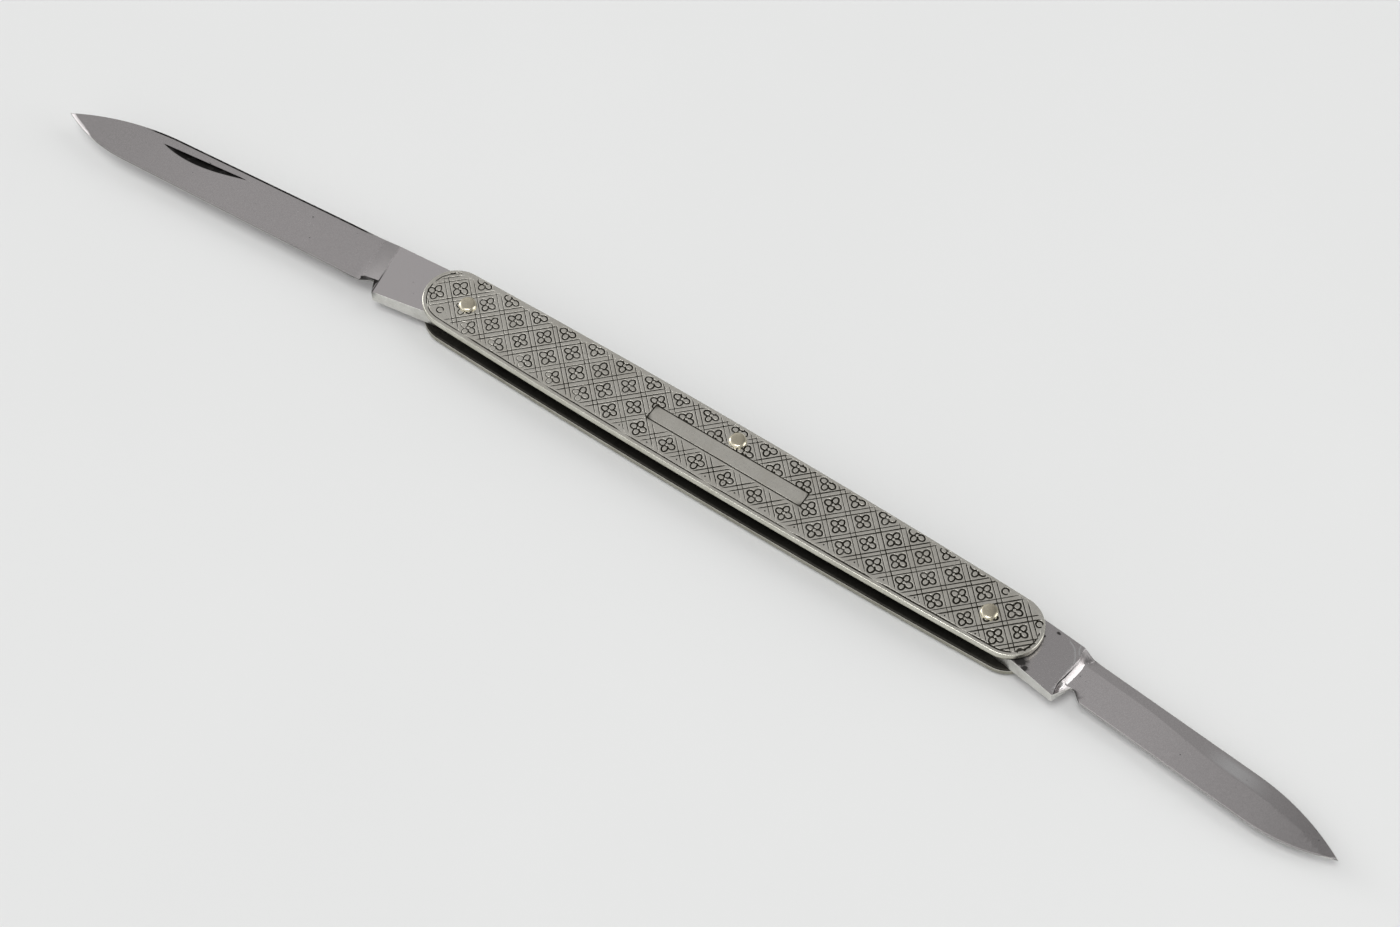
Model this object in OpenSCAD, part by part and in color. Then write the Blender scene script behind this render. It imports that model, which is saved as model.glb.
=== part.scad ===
// Pen knife with engraved metal scales and a blade at each end, shown with both blades open.
// +Z is the front scale's outward side, +X runs along the handle towards the pen blade,
// and +Y is the back, where the spring lies. The origin is on the rear head of the spring pin,
// at the middle of the handle, on the surface that the knife lies on.

/* [Handle] */
// Length of the handle from end to end
handle_l = 80; // [74:1:92]
// Width of the handle at its middle
handle_w = 8.6; // [8:0.1:9.6]
// Radius of the handle's rounded ends
end_r = 3.75; // [3.6:0.05:3.9]
// Thickness of a scale
scale_t = 0.6; // [0.4:0.05:1]
// Thickness of a liner
liner_t = 0.4; // [0.3:0.05:0.6]

/* [Spring] */
// Thickness of the spring, which is the slot between the liners
stock_t = 2.3; // [2.2:0.05:2.8]
// Depth that an arm of the spring takes from the handle's back
arm_d = 1.55; // [1.3:0.05:1.7]
// Metal between the spring pin and the spring's belly
eye_wall = 0.5; // [0.4:0.05:0.8]
// Half length of the thick middle of the spring
belly_half_l = 6; // [4:0.5:8]
// How far the spring's end reaches outwards past a pivot
nose_out = 1; // [0.6:0.1:1.4]
// How far the spring's end pad reaches inwards past a pivot
nose_in = 3.4; // [3:0.1:3.8]
// Length of the step from the end pad up to the arm
nose_ramp = 0.8; // [0.5:0.1:1.2]
// Gap between the spring and a tang that rests on it
seat_gap = 0.05; // [0.02:0.01:0.08]

/* [Pins] */
// Distance from the master blade's pivot to its end of the handle
master_inset = 5.4; // [5.2:0.1:6.4]
// Distance from the pen blade's pivot to its end of the handle
pen_inset = 6.3; // [5.2:0.1:6.6]
// Distance of the spring pin from the handle's centre line
spring_pin_y = 2.4; // [2.2:0.1:2.6]
// Diameter of a pin's shank
pin_d = 1.4; // [1.2:0.1:1.6]
// Diameter of a pin's head
head_d = 2; // [1.8:0.1:2.4]
// Height of a pin's head above its scale
head_h = 0.4; // [0.3:0.05:0.5]
// Rounding of a pin's head
head_round = 0.22; // [0.1:0.02:0.28]
// Radial clearance of a shank in the scales, liners and spring
pin_fit = 0.01; // [0.005:0.005:0.02]
// Radial clearance of a pivot in its blade
pivot_fit = 0.03; // [0.02:0.01:0.05]

/* [Tangs] */
// Clearance between a tang and each liner
tang_clear = 0.05; // [0.03:0.01:0.08]
// Distance from the pivot to each of a tang's flats
flat_h = 2.35; // [2.2:0.05:2.4]
// Rounding of a tang's two inner corners
tang_round = 1.2; // [0.8:0.1:1.6]
// Distance from the pivot to the back of a tang and blade
back_h = 3.55; // [3.4:0.05:3.6]
// Distance along the blade from the pivot to the kick
kick_u = 10.7; // [10:0.1:11.4]
// Distance from the pivot's line to the kick's corner
kick_v = 3.25; // [3.15:0.05:3.35]
// Distance along the blade at which a tang starts to thin
thin_from = 4.6; // [4:0.1:5.4]

/* [Blades] */
// Thickness of a blade at its spine
spine_t = 0.9; // [0.7:0.05:0.95]
// Thickness left along a cutting edge
edge_t = 0.12; // [0.1:0.02:0.2]
// Depth of a blade's outer face below the face of its tang
face_step = 0.1; // [0.06:0.02:0.1]
// Length of the slope between a tang and its blade
plunge_l = 0.65; // [0.4:0.05:0.9]
// Length of the flat top of the notch beside the kick
notch_l = 0.5; // [0.2:0.1:0.8]
// Length of the notch's slope down to the heel of the edge
heel_l = 1.2; // [0.8:0.1:2]
// Length of a nail nick
nick_l = 11; // [9:0.5:12]
// Radius of the cutter that makes a nail nick
nick_r = 40; // [36:1:50]
// Slant of a nail nick's floor
nick_slant = 18; // [15:1:26]
// Distance from the back of a blade to its nail nick
nick_drop = 1.1; // [0.7:0.05:1.3]

/* [Master blade] */
// Reach of the master blade from its pivot to its point
master_reach = 54.2; // [50:0.2:54.6]
// Droop of the open master blade
master_droop = 4.9; // [4:0.1:5.4]
// Depth of the master blade's edge below the pivot at the heel
master_heel_v = 2.3; // [1.9:0.05:2.4]
// Depth of the master blade's edge below the pivot where the belly starts
master_belly_v = 1.65; // [1.4:0.05:1.8]
// Distance from the pivot to the start of the master blade's belly
master_belly_u = 45.5; // [43:0.5:47]
// Distance from the pivot to where the master blade's spine starts to fall
master_fall_u = 40.5; // [38:0.5:43]
// Height of the master blade's point above the pivot
master_point_v = 0.8; // [0.6:0.05:1.3]
// Depth of the master blade's notch below the pivot
master_notch_v = 1.75; // [1.2:0.05:1.85]
// Thickness of the master blade's tang at the kick
master_kick_t = 1.7; // [1.5:0.05:1.9]
// Distance from the pivot to the middle of the master blade's nail nick
master_nick_u = 36.5; // [33:0.5:39]

/* [Pen blade] */
// Reach of the pen blade from its pivot to its point
pen_reach = 44.2; // [40:0.2:46]
// Droop of the open pen blade
pen_droop = 5; // [4.2:0.1:5.6]
// Depth of the pen blade's edge below the pivot at the heel
pen_heel_v = 1.45; // [1.2:0.05:1.8]
// Depth of the pen blade's edge below the pivot where the belly starts
pen_belly_v = 1.55; // [1.3:0.05:1.8]
// Distance from the pivot to the start of the pen blade's belly
pen_belly_u = 34; // [32:0.5:36]
// Distance from the pivot to where the pen blade's spine starts to fall
pen_fall_u = 32.5; // [30:0.5:35]
// Height of the pen blade's point above the pivot
pen_point_v = 1; // [0.7:0.05:1.4]
// Depth of the pen blade's notch below the pivot
pen_notch_v = 0.6; // [0.5:0.05:1]
// Thickness of the pen blade's tang at the kick
pen_kick_t = 1.35; // [1.2:0.05:1.5]
// Distance from the pivot to the middle of the pen blade's nail nick
pen_nick_u = 28; // [25:0.5:30]
// Width of the bevel along the pen blade's spine
swedge_w = 1.2; // [0.8:0.05:1.5]
// Drop of the bevel along the pen blade's spine
swedge_drop = 0.25; // [0.15:0.05:0.35]

/* [Hidden] */
$fn = 96;
// Segments of the circles that make the long flat arcs of the blades
ARC_FN = 720;
// Chords along half of one long side of the handle
SIDE_CHORDS = 12;
// Flats that follow the curve of a blade's belly or spine
ARC_FLATS = 6;
// Overlap of a cut past the surface that it opens
OVER = 1;
// Reach of a cut that has to pass right over a blade
FAR = 80;

half_l = handle_l / 2;
half_w = handle_w / 2;
end_x = half_l - end_r;
// How much further out a long side is at its middle than at its ends
side_rise = half_w - end_r;
// Radius of the long sides, which run up to the tops of the rounded ends
side_r = (end_x * end_x + side_rise * side_rise) / (2 * side_rise);
// Half the angle that a long side spans about its centre
side_a = asin(end_x / side_r);

// The handle's centre line lies in front of the origin
axis_y = -spring_pin_y;
master_x = -(half_l - master_inset);
pen_x = half_l - pen_inset;

rear_scale_z = head_h;
rear_liner_z = rear_scale_z + scale_t;
slot_z = rear_liner_z + liner_t;
front_liner_z = slot_z + stock_t;
front_scale_z = front_liner_z + liner_t;
front_z = front_scale_z + scale_t;
mid_z = slot_z + stock_t / 2;

// Heights of the spring's inner faces above the handle's centre line
pad_y = flat_h + seat_gap;
arm_y = half_w - arm_d;
belly_y = spring_pin_y - pin_d / 2 - eye_wall;

// Heights above the slot's middle of a tang's face and of a blade's two faces and edge
tang_half_t = stock_t / 2 - tang_clear;
outer_z = tang_half_t - face_step;
inner_z = outer_z - spine_t;
edge_z = (outer_z + inner_z) / 2;

notch_u = kick_u + plunge_l;
heel_u = notch_u + notch_l + heel_l;

// A closed blade stops where its kick meets the spring's arm
closed_droop = atan2(kick_v, kick_u) - asin((arm_y - seat_gap) / norm([kick_u, kick_v]));
echo(master_travel = 180 - master_droop - closed_droop, pen_travel = 180 - pen_droop - closed_droop);
echo(master_pivot = [master_x, axis_y, mid_z], pen_pivot = [pen_x, axis_y, mid_z]);

// Radius of the arc that leaves a line at p, bends towards its unit normal n and ends at tip
function arc_r(p, n, tip) = (tip - p) * (tip - p) / (2 * ((tip - p) * n));

// Angle that an arc of radius r turns through from p to tip
function arc_turn(p, r, tip) = 2 * asin(norm(tip - p) / (2 * r));

// Point at a and b along axes that are turned by an angle
function turned(a, b, angle) = [a * cos(angle) - b * sin(angle), a * sin(angle) + b * cos(angle)];

// Slab with the handle's outline from z up to z + t
module handle_slab(z, t) {
  back = [
    for (i = [-SIDE_CHORDS : SIDE_CHORDS])
      let (a = side_a * i / SIDE_CHORDS)
        [side_r * sin(a), half_w - side_r * (1 - cos(a))]
  ];
  front = [for (i = [len(back) - 1 : -1 : 0]) [back[i].x, -back[i].y]];
  translate([0, axis_y, z]) {
    linear_extrude(t) polygon(concat(back, front));
    for (end = [-1, 1]) translate([end * end_x, 0, 0]) cylinder(h = t, r = end_r);
  }
}

module pin_holes() {
  for (at = [[master_x, axis_y], [pen_x, axis_y], [0, 0]])
    translate([at.x, at.y, -OVER]) cylinder(h = front_z + 2 * OVER, d = pin_d + 2 * pin_fit);
}

module handle_plate(z, t) {
  difference() {
    handle_slab(z, t);
    pin_holes();
  }
}

// Region behind the spring's inner faces, about the handle's centre line
module spring_region() {
  top = half_w + OVER;
  polygon([
    [master_x - nose_out, top],
    [master_x - nose_out, pad_y],
    [master_x + nose_in, pad_y],
    [master_x + nose_in + nose_ramp, arm_y],
    [master_x + notch_u, arm_y],
    [-belly_half_l, belly_y],
    [belly_half_l, belly_y],
    [pen_x - notch_u, arm_y],
    [pen_x - nose_in - nose_ramp, arm_y],
    [pen_x - nose_in, pad_y],
    [pen_x + nose_out, pad_y],
    [pen_x + nose_out, top]
  ]);
}

// Outline of a tang in its blade's own axes: u runs out along the blade and v to its back.
// One flat meets the spring when the blade is open and the other when it is closed,
// and the shoulder in between stops against the spring's end.
module tang_outline(droop, notch_v) {
  inset = flat_h - tang_round;
  stop = nose_out + seat_gap;
  flat_end = nose_in + nose_ramp;
  back_corner = [-inset, inset * (1 - sin(droop)) / cos(droop)];
  front_corner = [-inset, -inset * (1 - sin(closed_droop)) / cos(closed_droop)];
  polygon([
    [(stop - back_h * sin(droop)) / cos(droop), back_h],
    turned(stop, flat_h, droop),
    back_corner + turned(0, tang_round, droop),
    back_corner - [tang_round, 0],
    front_corner - [tang_round, 0],
    front_corner - turned(0, tang_round, -closed_droop),
    [flat_end, -(flat_h + flat_end * sin(closed_droop)) / cos(closed_droop)],
    [kick_u, -kick_v],
    [notch_u, -notch_v],
    [notch_u, back_h]
  ]);
  for (corner = [back_corner, front_corner]) translate(corner) circle(tang_round);
}

// Tang with a flat front face, thinned from behind towards the kick
module tang(droop, notch_v, kick_t, blade_front_z, blade_rear_z) {
  back = -2 * flat_h;
  intersection() {
    translate([0, 0, -stock_t]) linear_extrude(2 * stock_t) tang_outline(droop, notch_v);
    translate([0, 2 * back_h, 0]) rotate([90, 0, 0]) linear_extrude(4 * back_h)
      polygon([
        [back, tang_half_t],
        [kick_u, tang_half_t],
        [notch_u, blade_front_z],
        [notch_u, blade_rear_z],
        [kick_u, tang_half_t - kick_t],
        [thin_from, -tang_half_t],
        [back, -tang_half_t]
      ]);
  }
}

// Half plane on the near side of u, for v on either side
module before(u) {
  translate([u - 2 * master_reach, -master_reach]) square([2 * master_reach, 2 * master_reach]);
}

// Blade with its outer face up: a wedge from the spine to the edge that turns with the belly,
// and where bevel_drop is set a second bevel on the inner face that turns with the spine
module blade_body(heel, belly, fall, tip, notch_v, bevel_w, bevel_drop) {
  edge_dir = (belly - heel) / norm(belly - heel);
  edge_n = [-edge_dir.y, edge_dir.x];
  belly_r = arc_r(belly, edge_n, tip);
  fall_r = arc_r(fall, [0, -1], tip);
  far = tip.x + OVER;
  intersection() {
    translate([0, 0, inner_z]) linear_extrude(spine_t) intersection() {
      polygon([
        [thin_from, back_h],
        [far, back_h],
        [far, belly.y + (far - belly.x) * edge_dir.y / edge_dir.x],
        heel,
        [notch_u + notch_l, -notch_v],
        [thin_from, -notch_v]
      ]);
      union() {
        before(fall.x);
        translate(fall - [0, fall_r]) circle(fall_r, $fn = ARC_FN);
      }
      union() {
        before(belly.x);
        translate(belly + belly_r * edge_n) circle(belly_r, $fn = ARC_FN);
      }
    }
    translate([belly.x, belly.y, edge_z]) rotate(atan2(edge_dir.y, edge_dir.x))
      along_arc(belly_r, arc_turn(belly, belly_r, tip))
        edge_wedge((spine_t - edge_t) / 2 / (back_h - belly.y));
    if (bevel_drop > 0)
      translate([fall.x, fall.y, inner_z + bevel_drop]) mirror([0, 1, 0])
        along_arc(fall_r, arc_turn(fall, fall_r, tip)) above_bevel(bevel_drop / bevel_w);
  }
}

// What the children have in common as they turn round an arc that starts along x and bends to +y
module along_arc(r, turn) {
  intersection_for(i = [0 : ARC_FLATS])
    translate([0, r, 0]) rotate(turn * i / ARC_FLATS) translate([0, -r, 0]) children();
}

// Space between the two faces of a straight edge along x, which slope apart towards +y
module edge_wedge(slope) {
  half_edge = edge_t / 2;
  // The faces are drawn on past the edge, to half its thickness
  past = half_edge / slope / 2;
  rotate([90, 0, 90]) linear_extrude(2 * FAR, center = true)
    polygon([
      [-past, half_edge / 2],
      [FAR, half_edge + FAR * slope],
      [FAR, -half_edge - FAR * slope],
      [-past, -half_edge / 2]
    ]);
}

// Space above a face that passes through the x axis and drops away towards +y
module above_bevel(slope) {
  rotate([90, 0, 90]) linear_extrude(2 * FAR, center = true)
    polygon([[-OVER, OVER * slope], [-OVER, FAR], [FAR, FAR], [FAR, -FAR * slope]]);
}

// Cutter for a nail nick in an upward face at z, with its steep wall towards the spine
module nick_cutter(u, v, z) {
  depth = (nick_r - sqrt(nick_r * nick_r - nick_l * nick_l / 4)) * cos(nick_slant);
  translate([u, v, z - depth]) rotate([90 - nick_slant, 0, 0]) translate([0, nick_r, 0])
    cylinder(h = 2 * back_h, r = nick_r, $fn = ARC_FN);
}

module pivot_bore() {
  translate([0, 0, -stock_t]) cylinder(h = 2 * stock_t, d = pin_d + 2 * pivot_fit);
}

// Round pin with a low button head at each end, standing on its rear head at z = 0
module headed_pin() {
  total = front_z + head_h;
  cylinder(h = total, d = pin_d);
  for (z = [0, total]) translate([0, 0, z]) mirror([0, 0, z > 0 ? 1 : 0])
    rotate_extrude() intersection() {
      square([head_d / 2, head_h]);
      union() {
        translate([0, head_round]) square([head_d / 2, head_h]);
        square([head_d / 2 - head_round, head_h]);
        translate([head_d / 2 - head_round, head_round]) circle(head_round, $fn = 32);
      }
    }
}

module front_scale() {
  color([0.62, 0.61, 0.58]) handle_plate(front_scale_z, scale_t);
}

module rear_scale() {
  color([0.62, 0.61, 0.58]) handle_plate(rear_scale_z, scale_t);
}

module front_liner() {
  color([0.70, 0.69, 0.64]) handle_plate(front_liner_z, liner_t);
}

module rear_liner() {
  color([0.70, 0.69, 0.64]) handle_plate(rear_liner_z, liner_t);
}

module back_spring() {
  color([0.50, 0.50, 0.50]) difference() {
    intersection() {
      handle_slab(slot_z, stock_t);
      translate([0, axis_y, slot_z - OVER]) linear_extrude(stock_t + 2 * OVER) spring_region();
    }
    pin_holes();
  }
}

module master_blade() {
  color([0.58, 0.57, 0.57])
    translate([master_x, axis_y, mid_z]) rotate(master_droop) mirror([1, 0, 0]) difference() {
      union() {
        tang(master_droop, master_notch_v, master_kick_t, outer_z, inner_z);
        blade_body([heel_u, -master_heel_v], [master_belly_u, -master_belly_v],
                   [master_fall_u, back_h], [master_reach, master_point_v], master_notch_v, 0, 0);
      }
      pivot_bore();
      nick_cutter(master_nick_u, back_h - nick_drop, outer_z);
    }
}

module pen_blade() {
  color([0.58, 0.57, 0.57])
    translate([pen_x, axis_y, mid_z]) rotate(-pen_droop) difference() {
      union() {
        tang(pen_droop, pen_notch_v, pen_kick_t, -inner_z, -outer_z);
        mirror([0, 0, 1])
          blade_body([heel_u, -pen_heel_v], [pen_belly_u, -pen_belly_v], [pen_fall_u, back_h],
                     [pen_reach, pen_point_v], pen_notch_v, swedge_w, swedge_drop);
      }
      pivot_bore();
      mirror([0, 0, 1]) nick_cutter(pen_nick_u, back_h - nick_drop, outer_z);
    }
}

module master_pivot_pin() {
  color([0.80, 0.76, 0.66]) translate([master_x, axis_y, 0]) headed_pin();
}

module pen_pivot_pin() {
  color([0.80, 0.76, 0.66]) translate([pen_x, axis_y, 0]) headed_pin();
}

module spring_pin() {
  color([0.80, 0.76, 0.66]) headed_pin();
}

front_scale();
rear_scale();
front_liner();
rear_liner();
back_spring();
master_blade();
pen_blade();
master_pivot_pin();
pen_pivot_pin();
spring_pin();
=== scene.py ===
"""Looks of the pen knife: engraved scales, liners, back spring, two ground blades and riveted pins.

Every piece stands for one CAD node and keeps its place. Shapes are worked out in millimetres, either in
the row frame or in a blade's own axes, and become metres when the mesh is made.
"""

import logging
import math
import random
from dataclasses import dataclass, field
from enum import Enum
from typing import Callable, Iterable, Sequence

import bmesh
import bpy
import numpy as np
from mathutils import Matrix, Vector
from mathutils.geometry import delaunay_2d_cdt


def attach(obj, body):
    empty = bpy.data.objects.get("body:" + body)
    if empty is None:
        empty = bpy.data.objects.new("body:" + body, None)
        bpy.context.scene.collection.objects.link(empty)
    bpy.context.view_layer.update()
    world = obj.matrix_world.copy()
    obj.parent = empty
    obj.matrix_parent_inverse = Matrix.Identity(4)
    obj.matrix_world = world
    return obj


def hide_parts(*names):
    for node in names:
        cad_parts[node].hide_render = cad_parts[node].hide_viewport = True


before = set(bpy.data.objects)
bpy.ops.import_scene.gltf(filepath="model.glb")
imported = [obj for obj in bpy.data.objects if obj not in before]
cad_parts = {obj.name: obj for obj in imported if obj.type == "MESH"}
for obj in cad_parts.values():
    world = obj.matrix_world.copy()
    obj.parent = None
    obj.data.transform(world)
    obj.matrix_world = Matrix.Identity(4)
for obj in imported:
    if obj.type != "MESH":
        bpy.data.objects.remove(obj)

log = logging.getLogger("pen_knife")

MM = 0.001
# Darkness at each point: dark oxide in the engraved cuts, painted shade on the blades.
DARKNESS = "cut"
# Brightness at each point: rubbed rims with a painted sheen, painted highlights on the blades.
BRIGHTNESS = "rim"

# Limits of the mesh work: points tested at once, area of a sliver, and distance of a crease from a rim.
BLOCK = 4000
THIN = 0.008
MARGIN = 0.02

# Shading: cosines over which two edges or a face and its slope count as smooth, height of a steep facet's
# normal, and step that a slope is measured over.
SMOOTH_EDGE = 0.88
SMOOTH_FACE = 0.93
STEEP = 0.75
PROBE = 0.004

# How much a rim is rubbed and brightened with a painted sheen: inside its round, and where it meets the
# wall.
RUBBED_SHEEN = 0.65
RUBBED_SHEEN_WALL = 0.15

# Colour of the stains and of the patches of painted shade, and brightness that the clouds and the specks
# leave.
STAIN_AND_SHADE = (0.018, 0.017, 0.016)
CLOUD = 0.6
SPECK = 0.2

Point = tuple[float, float]
Triple = tuple[float, float, float]
Patch = tuple[float, float, float, float]
Rim = tuple[tuple[float, float], ...]
Height = Callable[[float, float], float]
Socket = bpy.types.NodeSocket


class Material(Enum):
    """Slots of a relief's faces."""

    FACE = 0
    WALL = 1
    INSIDE = 2


class Side(Enum):
    """Which face of the knife a plate looks out of."""

    FRONT = 1
    REAR = -1


def v2(x: float, y: float) -> Vector:
    """Plane vector."""
    return Vector((x, y))


def turned(x: float, y: float, angle: float) -> Vector:
    """Point x, y turned by an angle in degrees."""
    c, s = math.cos(math.radians(angle)), math.sin(math.radians(angle))
    return v2(x * c - y * s, x * s + y * c)


def arc(centre: Vector, radius: float, start: float, end: float, count: int) -> list[Vector]:
    """Points in count steps along a circle's arc, from one angle in degrees to another."""
    angles = (math.radians(start + (end - start) * i / count) for i in range(count + 1))
    return [centre + v2(radius * math.cos(a), radius * math.sin(a)) for a in angles]


def smooth(low: float, high: float, x: float) -> float:
    """Smooth step from 0 at low to 1 at high."""
    t = min(1.0, max(0.0, (x - low) / (high - low)))
    return t * t * (3 - 2 * t)


def spaced(points: Sequence[Vector], step: float, closed: bool = False) -> list[Vector]:
    """The same line with extra points, so that none of its pieces is longer than step.

    Args:
        points: Points of the line.
        step: Longest piece that is left.
        closed: Whether the line runs back to its start.

    Returns:
        The old and the new points in order.
    """
    line = list(points) + ([points[0]] if closed else [])
    out = [line[0]]
    for a, b in zip(line, line[1:]):
        count = max(1, math.ceil((b - a).length / step))
        out += [a.lerp(b, (i + 1) / count) for i in range(count)]
    return out[:-1] if closed else out


def edge_normals(loop: Sequence[Vector]) -> list[Vector]:
    """Outward unit normal of each edge of a counter-clockwise loop.

    Args:
        loop: Points of the loop.

    Returns:
        The normals, from that of the edge which leaves the first point.
    """
    found = []
    for a, b in zip(loop, list(loop[1:]) + [loop[0]]):
        along = (b - a).normalized()
        found.append(v2(along.y, -along.x))
    return found


def inset(loop: Sequence[Vector], distance: float) -> list[Vector]:
    """Counter-clockwise loop moved inwards by a distance, with its corners mitred.

    Args:
        loop: Points of the loop.
        distance: Way inwards.

    Returns:
        As many points, moved.
    """
    normals = edge_normals(loop)
    out = []
    for i, point in enumerate(loop):
        before, after = normals[i - 1], normals[i]
        middle = (before + after).normalized()
        reach = min(2.5, 1 / max(0.2, middle.dot(after)))
        out.append(point - middle * distance * reach)
    return out


def linked(name: str, data: bpy.types.ID) -> bpy.types.Object:
    """New object of the scene.

    Args:
        name: Name of the object.
        data: Its mesh, lamp or camera.

    Returns:
        The object.
    """
    made = bpy.data.objects.new(name, data)
    bpy.context.scene.collection.objects.link(made)
    return made


class Region:
    """Area inside a loop and outside others."""

    def __init__(self, loop: Sequence[Vector], without: Iterable[Sequence[Vector]] = ()) -> None:
        """Keeps the loops as arrays."""
        self.loops = [np.array([tuple(p) for p in line]) for line in (loop, *without)]

    def mask(self, points: np.ndarray) -> np.ndarray:
        """True for each point that lies inside the first loop and outside the others.

        Args:
            points: A row of x and y for each point.

        Returns:
            One truth value for each point.
        """
        inside = self._crossings(self.loops[0], points)
        for hole in self.loops[1:]:
            inside &= ~self._crossings(hole, points)
        return inside

    def holds(self, point: Vector) -> bool:
        """Whether one point lies in the region."""
        return bool(self.mask(np.array([tuple(point)]))[0])

    @staticmethod
    def _crossings(loop: np.ndarray, points: np.ndarray) -> np.ndarray:
        """Even-odd test of many points against one loop.

        Args:
            loop: A row of x and y for each corner.
            points: A row of x and y for each point.

        Returns:
            True for each point inside the loop.
        """
        (ax, ay), (bx, by) = loop.T, np.roll(loop, -1, axis=0).T
        rise = np.where(by == ay, 1.0, by - ay)
        found = []
        for part in np.array_split(points, len(points) // BLOCK + 1):
            px, py = part[:, :1], part[:, 1:]
            spans = (ay > py) != (by > py)
            found.append((spans & (px < ax + (py - ay) * (bx - ax) / rise)).sum(axis=1) % 2 == 1)
        return np.concatenate(found)

    def whole(self, lines: Sequence[Sequence[Vector]]) -> list[bool]:
        """For each line, whether all its points lie in the region.

        Args:
            lines: Points of each line.

        Returns:
            One truth value for each line.
        """
        if not lines:
            return []
        inside = self.mask(np.array([tuple(p) for line in lines for p in line]))
        ends = np.cumsum([len(line) for line in lines])[:-1]
        return [bool(part.all()) for part in np.split(inside, ends)]

    def clip(self, line: Sequence[Vector], step: float) -> list[list[Vector]]:
        """The runs of a line that lie in the region.

        Args:
            line: Points of the line.
            step: Longest piece that is tested as one.

        Returns:
            One list of points for each run, with its ends on the region's border.
        """
        points = spaced(line, step)
        inside = self.mask(np.array([tuple(p) for p in points]))
        runs: list[list[Vector]] = []
        run: list[Vector] = [points[0]] if inside[0] else []
        for a, b, a_in, b_in in zip(points, points[1:], inside, inside[1:]):
            if a_in and b_in:
                run.append(b)
            elif a_in:
                run.append(self._border(a, b))
                runs.append(run)
                run = []
            elif b_in:
                run = [self._border(b, a), b]
        if run:
            runs.append(run)
        return [r for r in runs if len(r) > 1 and (r[0] - r[-1]).length > 1e-6 or len(r) > 3]

    def _border(self, inner: Vector, outer: Vector) -> Vector:
        """Last point inside the region on the way from inner to outer.

        Args:
            inner: A point inside.
            outer: A point outside.

        Returns:
            The point.
        """
        for _ in range(10):
            middle = (inner + outer) / 2
            if self.holds(middle):
                inner = middle
            else:
                outer = middle
        return inner


@dataclass
class Face:
    """One face of a relief: its height, the lines it folds along and how it is shaded.

    Attributes:
        height: Gives the height at each place.
        creases: Points of each fold.
        rim: Depth of each ring inside the outline and its drop.
        grid: Distance of extra points, or 0.
        material: Slot of the face.
        rim_material: Slot of its rim.
        darkness_at: Gives how dark the face is: dark oxide in the engraved cuts, painted shade on the
            blades.
        brightness_at: Gives how much brighter the face is made: rubbed and whetted places, and painted
            highlights.
    """

    height: Height
    creases: list[list[Vector]] = field(default_factory=list)
    rim: Rim = ((0.0, 0.04), (0.012, 0.012), (0.04, 0.0))
    grid: float = 0.0
    material: Material = Material.FACE
    rim_material: Material = Material.WALL
    darkness_at: Height | None = None
    brightness_at: Height | None = None


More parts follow.
